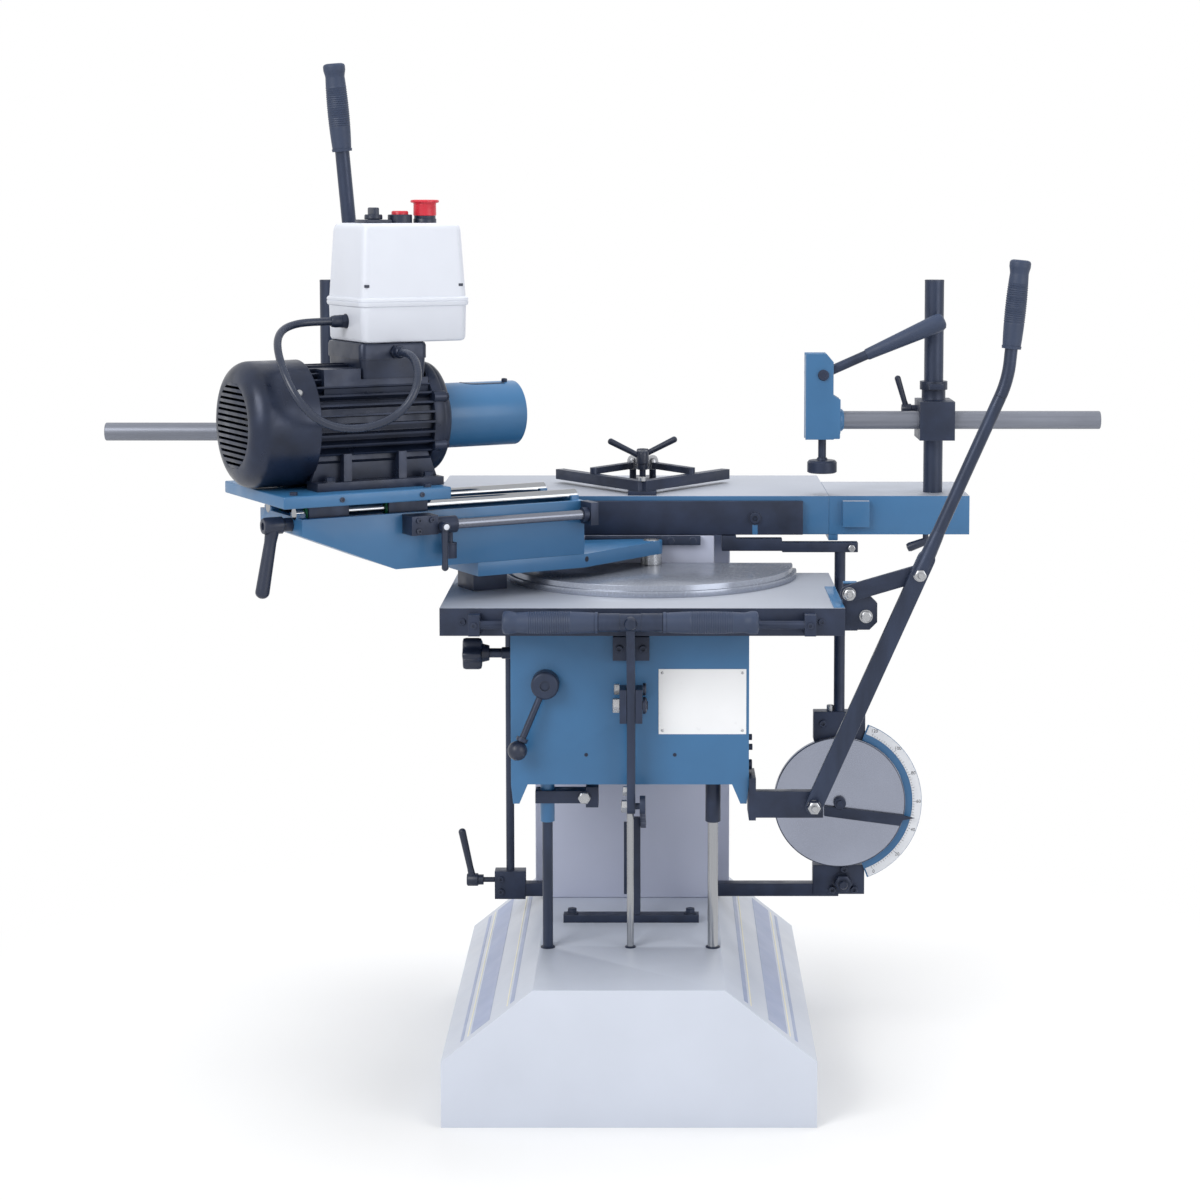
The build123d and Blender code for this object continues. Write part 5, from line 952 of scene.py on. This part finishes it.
def feed_stop_lever():
    face = Vector((-403, -112.3, 822))
    lever = Piece("feed_stop_handle", "feed_stop_lever", "black_plastic")
    lever.solid([(0, 6), (1, 6.5), (13, 6.5), (14, 5.8)], face, NEAR, 32)
    arm, length, tip = [(0, 5), (20, 4.6), (40, 4), (52, 4.2)], 58, 5
    turns = [math.pi * step / 10 for step in range(5)]
    arm += [(length + tip * math.sin(turn), tip * math.cos(turn)) for turn in turns]
    lever.solid(arm + [(length + tip, 0)], face + NEAR * 8, DOWN, 28).done("feed_stop_lever")
    cap = [(0, 4.2), (0.8, 4.2), (1.4, 3.4), (1.6, 0)]
    end = Piece("feed_stop_cap", "feed_stop_lever", "white_plastic")
    end.solid(cap, face + NEAR * 13.8, NEAR, 28).done()


# Carriage with its bearings
def carriage():
    dressed("carriage_plate", "blue_paint", 2)
    dressed("slide_bearings", "lever_steel", 1.5)
    seals = Piece("bearing_seals", "carriage", "green_seal")
    seal, length, rail_z = [(0, 9.3), (0, 14), (1.6, 13.8), (2.2, 12), (1.8, 9.3)], 60, 845
    for u, v in product((-585, -465), (-50, 50)):
        seals.ring(seal, (u, v, rail_z), -ALONG, 36)
        seals.ring(seal, (u + length, v, rail_z), ALONG, 36)
    seals.done()
    bolts = Piece("carriage_bolts", "carriage", "black_steel")
    plate_top, foot_top = 877, 889
    for u, v in product((-620, -420), (-100, 100)):
        bolts.socket_screw((u, v, plate_top), UP, 5.5, 4.5)
    for u, v in product((-557.5, -409), (-79, 79)):
        bolts.bolt((u, v, foot_top), UP, 8.5, 1.4, 12, 6, 28)
    for u in (-555, -435):
        bolts.socket_screw((u, -115, 868.5), NEAR, 3.6, 2)
    bolts.done()


# Motor, cowl, guard and spindle, with the height of their axis
AXIS_Z = 967


def motor():
    dressed("motor_body", "motor_black", 0.6)
    cowl()
    dressed("spindle", "bright_steel", 0.8)
    dressed("chuck_guard", "blue_paint", 0.8)
    front = Piece("shield_details", "carriage", "motor_black")
    foot = [(-579, 889), (-566, 925), (-401, 925), (-388, 889)]
    for side in (-1, 1):
        for rise in (-34, 34):
            front.bolt((-398, side * 72, AXIS_Z + rise), ALONG, 8.5, 18, 10, 6, 28)
        front.prism(foot, Matrix.Translation((0, side * 58 + 4, 0)) @ FACE, 8, 1)
    front.ring([(0, 48), (0, 58), (6, 58), (9, 52), (9, 48)], (-368, 0, AXIS_Z), ALONG, 72)
    rim = [(0, 80), (0, 81.5), (3, 82.2), (13, 82.2), (16, 80.8), (16, 80)]
    front.ring(rim, (-397.8, 0, AXIS_Z), ALONG, 96).done()
    guard_fittings()


def guard_fittings():
    """The guard's bent slot, as a dark strip along the tube that paints the shade in the slot, and the
    screw at its open end.
    """
    fittings = Piece("guard_fittings", "carriage", "black_steel")
    radius, half, sunk, proud = 47.1, 2, 1, 0.4
    # Places along the axis and turns about it
    slot = [(-256, 0.30), (-300, 0.30), (-309, 0.27), (-316, 0.18), (-321, 0.0)]
    verts, faces = [], []
    for step, (u, turn) in enumerate(slot):
        ahead, behind = slot[max(step - 1, 0)], slot[min(step + 1, len(slot) - 1)]
        run = Vector((ahead[0] - behind[0], radius * (ahead[1] - behind[1]))).normalized() * half
        for side, reach in product((-1, 1), (radius - sunk, radius + proud)):
            rise, near = polar(reach, turn + side * run.x / radius)
            verts.append((u - side * run.y, -near, AXIS_Z + rise))
    last = len(verts) - 4
    for a in range(0, last, 4):
        b = a + 4
        faces += [(a + 1, a + 3, b + 3, b + 1), (a, b, b + 2, a + 2)]
        faces += [(a, a + 1, b + 1, b), (a + 2, b + 2, b + 3, a + 3)]
    fittings.put(verts, faces + [(0, 2, 3, 1), (last, last + 1, last + 3, last + 2)])
    fittings.socket_screw((-252.5, -6.5, AXIS_Z + 45.8), (0, -0.14, 0.99), 4.3, 5).done()


def cowl():
    """Fan cowl: a drawn cup with a rounded rear edge and rows of slots over the fan."""
    rear, length, radius, wall, corner, grille = -669, 97, 88.5, 2.5, 26, 60

    def edge(inset, steps):
        """The rear edge's round, from the grille outwards, at an inset from the outer skin."""
        size = corner - inset
        turns = [math.pi / 2 * step / steps for step in range(steps + 1)]
        return [(corner - size * math.cos(turn), radius - corner + size * math.sin(turn)) for turn in turns]

    shell = Piece("cowl_shell", "carriage", "motor_black")
    mouth = [(length - 1, radius), (length, radius - 0.8), (length, radius - wall)]
    profile = [(0, grille)] + edge(0, 12) + mouth + edge(wall, 6)[::-1] + [(wall, grille)]
    shell.ring(profile, (rear, 0, AXIS_Z), ALONG, 112)
    rows, pitch, slot_high, lap = 15, 8.2, 3.5, 1
    half = (pitch - slot_high) / 2
    for row in range(rows):
        rise = (row - (rows - 1) / 2) * pitch
        reach = math.sqrt((grille + lap) ** 2 - rise**2)
        z = AXIS_Z + rise
        shell.box((rear, -reach, z - half), (rear + wall, reach, z + half), 0.6)
    shell.done("fan_cowl")
    screws = Piece("cowl_screws", "carriage", "zinc")
    for angle in (32.5, 147.5, 270):
        outward = Vector((0, *polar(1, math.radians(angle))))
        place = Vector((-600, 0, AXIS_Z)) + outward * radius
        screws.solid([(0, 5.2), (1.2, 5), (2.8, 3.6), (3.2, 0)], place, outward, 24)
    screws.done()


# Terminal box and control box with their switches
def rounded(half_u, half_v, radius):
    """Points of a rectangle with round corners, from the first quarter round."""
    points, steps = [], 8
    for corner, (sign_u, sign_v) in enumerate(((1, 1), (-1, 1), (-1, -1), (1, -1))):
        for step in range(steps + 1):
            u, v = polar(radius, math.pi / 2 * (corner + step / steps))
            points.append((sign_u * (half_u - radius) + u, sign_v * (half_v - radius) + v))
    return points


def stack(piece, levels, middle_u):
    """A closed form through rounded rectangles at rising heights."""
    rings = [[(middle_u + u, v, z) for u, v in rounded(*sizes)] for z, *sizes in levels]
    count = len(rings[0])
    verts = [point for ring in rings for point in ring]
    faces = [tuple(reversed(range(count))), tuple(range(len(verts) - count, len(verts)))]
    for low, step in product(range(0, len(verts) - count, count), range(count)):
        after, high = (step + 1) % count, low + count
        faces.append((low + step, low + after, high + after, high + step))
    return piece.put(verts, faces)


def gland(piece, start, axis, length):
    """A cable gland: hexagon body on its washer, dome nut and mouth."""
    piece.bolt(start, axis, 10.5, 1.5, 17.8, length * 0.36)
    dome = [(0, 8.8), (length * 0.34, 8.8), (length * 0.54, 7.6), (length * 0.60, 6.6)]
    return piece.solid(dome, Vector(start) + axis * length * 0.40, axis, 32)


# Places of the control box and its switches along the head, and the height of its lid
CASE_U, SELECTOR_U, START_U, STOP_U, LID_Z = -419, -455, -414, -375, 1245.6


def boxes():
    terminal = Piece("terminal_housing", "carriage", "motor_black")
    levels = [(1029, 48.5, 60, 8), (1056, 50, 60.5, 8), (1056.2, 51.5, 62, 9)]
    levels += [(1074, 51.5, 62, 9), (1077.5, 50, 60.5, 8), (1079, 47.5, 58, 7)]
    stack(terminal, levels, -451.5)
    gland(terminal, (-448, -60.5, 1066), NEAR, 17.5).done("terminal_box")
    case = Piece("control_case", "carriage", "white_plastic")
    half_u, half_v = 82, 65
    # Height, growth over the half sizes and corner radius: tray, seam, lid and its rounded top
    shape = [(1079, -6, 8), (1080.5, -3, 10), (1084, -1.2, 11), (1129, 0, 12)]
    shape += [(1130.2, 2.2, 13), (1133, 3, 14), (1135.2, 3, 14), (1135.8, 2.2, 13.2), (1136.4, 2.2, 13.2)]
    shape += [(1137, 3, 14), (1139.8, 2.8, 14), (1141.8, 1, 13), (1142.4, -0.4, 12)]
    shape += [(1236, -5.5, 12), (1241, -6.6, 11.5), (1244.5, -9.2, 10), (1246, -13.5, 8)]
    levels = [(z, half_u + grown, half_v + grown, radius) for z, grown, radius in shape]
    stack(case, levels, CASE_U).done("control_box")
    slots = Piece("case_slot_shade_and_fittings", "carriage", "black_plastic")
    # Black boxes where the case's side slots are: painted shade inside the slots
    for side, u in product((-1, 1), (CASE_U - 74.2, CASE_U + 70)):
        near, far = sorted((side * (half_v - 0.8), side * (half_v - 3.8)))
        slots.box((u - 3.5, near, 1156.6), (u + 3.5, far, 1160.6), 0.6)
    gland(slots, (CASE_U - half_u + 0.8, -5, 1108), -ALONG, 23.8)
    slots.box((SELECTOR_U - 20, -20, LID_Z), (SELECTOR_U + 20, 20, 1251), 1.4)
    collar = [(0, 8.5), (0, 17.5), (11.4, 17.3), (12.4, 16.5), (12.4, 12.6), (3.6, 12.4), (3.4, 8.5)]
    slots.ring(collar, (START_U, 0, LID_Z), UP, 48)
    collar = [(0, 8.5), (0, 16.5), (5.6, 16.5), (6.4, 16), (6.4, 15.7), (0.6, 15.7), (0.5, 8.5)]
    slots.ring(collar, (STOP_U, 0, LID_Z), UP, 48).done()
    switches()


def switches():
    selector = Piece("selector_knob", "selector_switch", "black_plastic")
    u, base = SELECTOR_U, 1251.3
    knob_form = [(-26.3, 8), (0, 8), (0, 12.2), (1.2, 13), (6, 12.6), (7, 11.6)]
    selector.solid(knob_form, (u, 0, base), UP, 48)
    selector.box((u - 4, -12.6, base + 0.5), (u + 4, 12.6, base + 16.9), 2.2).done("selector_switch")
    line = Piece("selector_line", "selector_switch", "white_plastic")
    line.box((u - 0.7, -11.8, base + 16.6), (u + 0.7, -2, base + 17), 0.1).done()
    cap = [(-28.3, 8), (0, 8), (0, 11.5), (0.8, 12), (8.3, 12), (9.5, 11.2), (10, 9.8), (9.7, 5), (9.6, 0)]
    start = Piece("start_cap", "start_button", "red_plastic")
    start.solid(cap, (START_U, 0, 1253.3), UP, 48).done("start_button")
    foot = (STOP_U, 0, 1256.3)
    sleeve = Piece("stop_sleeve", "stop_button", "black_plastic")
    sleeve.solid([(-5.8, 15.2), (-5.2, 15.4), (0.4, 15.4)], foot, UP, 48).done()
    dome = [(-31.3, 8), (0, 8), (0, 15.8), (0.8, 16.5), (16.5, 16.2), (18, 16.8), (18.6, 19.6)]
    dome += [(19.6, 20.5), (21.4, 20.5), (22.4, 19.6), (22.9, 15), (23, 0)]
    Piece("stop_cap", "stop_button", "red_plastic").solid(dome, foot, UP, 56).done("stop_button")


# Feed lever behind the motor
def feed_lever():
    foot, top = Vector((-394, 775)), Vector((-460, 1477))
    back, middle, flat, grip_length = 134, 128, 127, 128
    way = (top - foot).normalized()
    rise = Vector((way.x, 0, way.y))
    start = Vector((foot.x, middle, foot.y))
    rod_end = (top - foot).length - grip_length
    lever = Piece("feed_bar", "feed_lever", "lever_steel")
    bent_bar(lever, [foot, foot + way * flat], 16, Matrix.Translation((0, back, 0)) @ FACE, 12)
    lever.solid([(0, 5.8), (30, 10), (60, 10.5), (64, 0)], start + rise * (flat - 30), rise, 32)
    lever.bar(start + rise * flat, start + rise * (rod_end + 4), 10.5, 36).done("feed_lever")
    hand_grip("feed_grip", "feed_lever", grip_length, 16, start + rise * rod_end, rise)
    Piece("feed_nut", "head", "zinc").bolt((foot.x, back + 0.3, foot.y), ACROSS, 13, 1.5, 17, 3).done()


# Motor cable: from the control box's gland round to the terminal box's gland, in metres
def motor_cable():
    route = [
        (-0.5240, -0.0050, 1.1080), (-0.5530, -0.0050, 1.1080), (-0.5790, -0.0090, 1.1060),
        (-0.6020, -0.0220, 1.1000), (-0.6180, -0.0420, 1.0890), (-0.6270, -0.0650, 1.0730),
        (-0.6300, -0.0880, 1.0530), (-0.6280, -0.1080, 1.0300), (-0.6190, -0.1220, 1.0070),
        (-0.6030, -0.1310, 0.9860), (-0.5800, -0.1370, 0.9730), (-0.5530, -0.1420, 0.9680),
        (-0.5260, -0.1460, 0.9700), (-0.5010, -0.1510, 0.9780), (-0.4800, -0.1555, 0.9930),
        (-0.4640, -0.1565, 1.0140), (-0.4535, -0.1470, 1.0375), (-0.4490, -0.1290, 1.0565),
        (-0.4480, -0.1040, 1.0660), (-0.4480, -0.0780, 1.0660),
    ]
    curve = bpy.data.curves.new("cable", "CURVE")
    curve.dimensions = "3D"
    curve.bevel_depth = 5.5 * MM
    curve.bevel_resolution = 6
    curve.resolution_u = 10
    curve.use_fill_caps = True
    spline = curve.splines.new("NURBS")
    spline.points.add(len(route) - 1)
    for control, place in zip(spline.points, route):
        control.co = (*(HEAD @ Vector(place)), 1.0)
    spline.order_u = 3
    spline.use_endpoint_u = True
    cable = bpy.data.objects.new("cable", curve)
    bpy.context.scene.collection.objects.link(cable)
    curve.materials.append(look["cable_rubber"])
    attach(cable, "carriage")
    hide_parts("motor_cable")


# Camera, floor and light, in metres
def camera():
    lens = bpy.data.cameras.new("camera")
    lens.sensor_width = 36.0
    lens.lens = 73.58
    lens.shift_x = -0.0459
    lens.shift_y = -0.17
    lens.clip_end = 100.0
    made = bpy.data.objects.new("camera", lens)
    pitch = 4.55
    made.location = (0.036, -3.620, 1.2775)
    made.rotation_euler = (math.radians(90 - pitch), 0, 0)
    bpy.context.scene.collection.objects.link(made)
    bpy.context.scene.camera = made


def seen_rays(tree):
    """1 for rays from the camera, from mirrors and through glass, and 0 for others."""
    rays = shader_node(tree, "LightPath").outputs
    most = rays["Is Camera Ray"]
    for name in ("Is Glossy Ray", "Is Transmission Ray"):
        most = shader_node(tree, "Math", most, rays[name], operation="MAXIMUM").outputs[0]
    return most


def floor():
    """A floor that takes the object's shadow and fades into the white background around it."""
    data = bpy.data.meshes.new("floor")
    reach, fade_start, fade_end = 30.0, 0.45, 1.25
    corners = [(-reach, -reach, 0), (reach, -reach, 0), (reach, reach, 0), (-reach, reach, 0)]
    data.from_pydata(corners, [], [(0, 1, 2, 3)])
    made = bpy.data.objects.new("floor", data)
    bpy.context.scene.collection.objects.link(made)
    material = bpy.data.materials.new("floor")
    material.use_nodes = True
    data.materials.append(material)
    tree = material.node_tree
    shader = tree.nodes["Principled BSDF"]
    shader.inputs["Base Color"].default_value = (0.90, 0.90, 0.90, 1)
    shader.inputs["Roughness"].default_value = 0.9
    shader.inputs["Specular IOR Level"].default_value = 0.1
    place = shader_node(tree, "TexCoord").outputs["Object"]
    distance = shader_node(tree, "VectorMath", place, operation="LENGTH").outputs["Value"]
    fade = shader_node(tree, "MapRange", distance, fade_start, fade_end)
    fade.interpolation_type = "SMOOTHSTEP"
    share = shader_node(tree, "Math", fade.outputs["Result"], seen_rays(tree), operation="MULTIPLY")
    white = shader_node(tree, "Emission")
    mix = shader_node(tree, "MixShader", share.outputs[0], shader.outputs[0], white.outputs[0])
    tree.links.new(mix.outputs[0], tree.nodes["Material Output"].inputs["Surface"])


def world():
    made = bpy.data.worlds.new("studio")
    bpy.context.scene.world = made
    made.use_nodes = True
    tree = made.node_tree
    sky = tree.nodes["Background"].inputs
    sky["Color"].default_value = (1, 1, 1, 1)
    level = shader_node(tree, "MapRange", seen_rays(tree), To_Min=0.50, To_Max=1.0)
    tree.links.new(level.outputs["Result"], sky["Strength"])


def area_light(name, place, size, power, mirrored=True):
    target = Vector((0.0, 0.0, 0.75))
    lamp = bpy.data.lights.new(name, "AREA")
    lamp.shape = "RECTANGLE"
    lamp.size, lamp.size_y = size
    lamp.energy = power
    made = bpy.data.objects.new(name, lamp)
    made.location = place
    made.rotation_euler = (target - Vector(place)).to_track_quat("-Z", "Y").to_euler()
    made.visible_glossy = mirrored
    bpy.context.scene.collection.objects.link(made)


def lights():
    area_light("key", (-2.4, -3.0, 3.0), (2.2, 2.2), 95)
    area_light("fill", (3.0, -2.6, 1.8), (2.4, 2.4), 42)
    area_light("top", (0.2, 0.4, 3.6), (2.6, 2.0), 60, False)
    area_light("rear", (0.5, 3.2, 2.2), (2.6, 1.8), 45, False)
    bpy.context.scene.view_settings.view_transform = "Standard"


motor_cable()
camera()
floor()
world()
lights()
stand()
table()
frame_bolts()
fence()
clamps()
depth_stop()
dial()
knee()
crank()
knob()
lift_lever()
cross_slide()
head()
carriage()
motor()
boxes()
feed_lever()
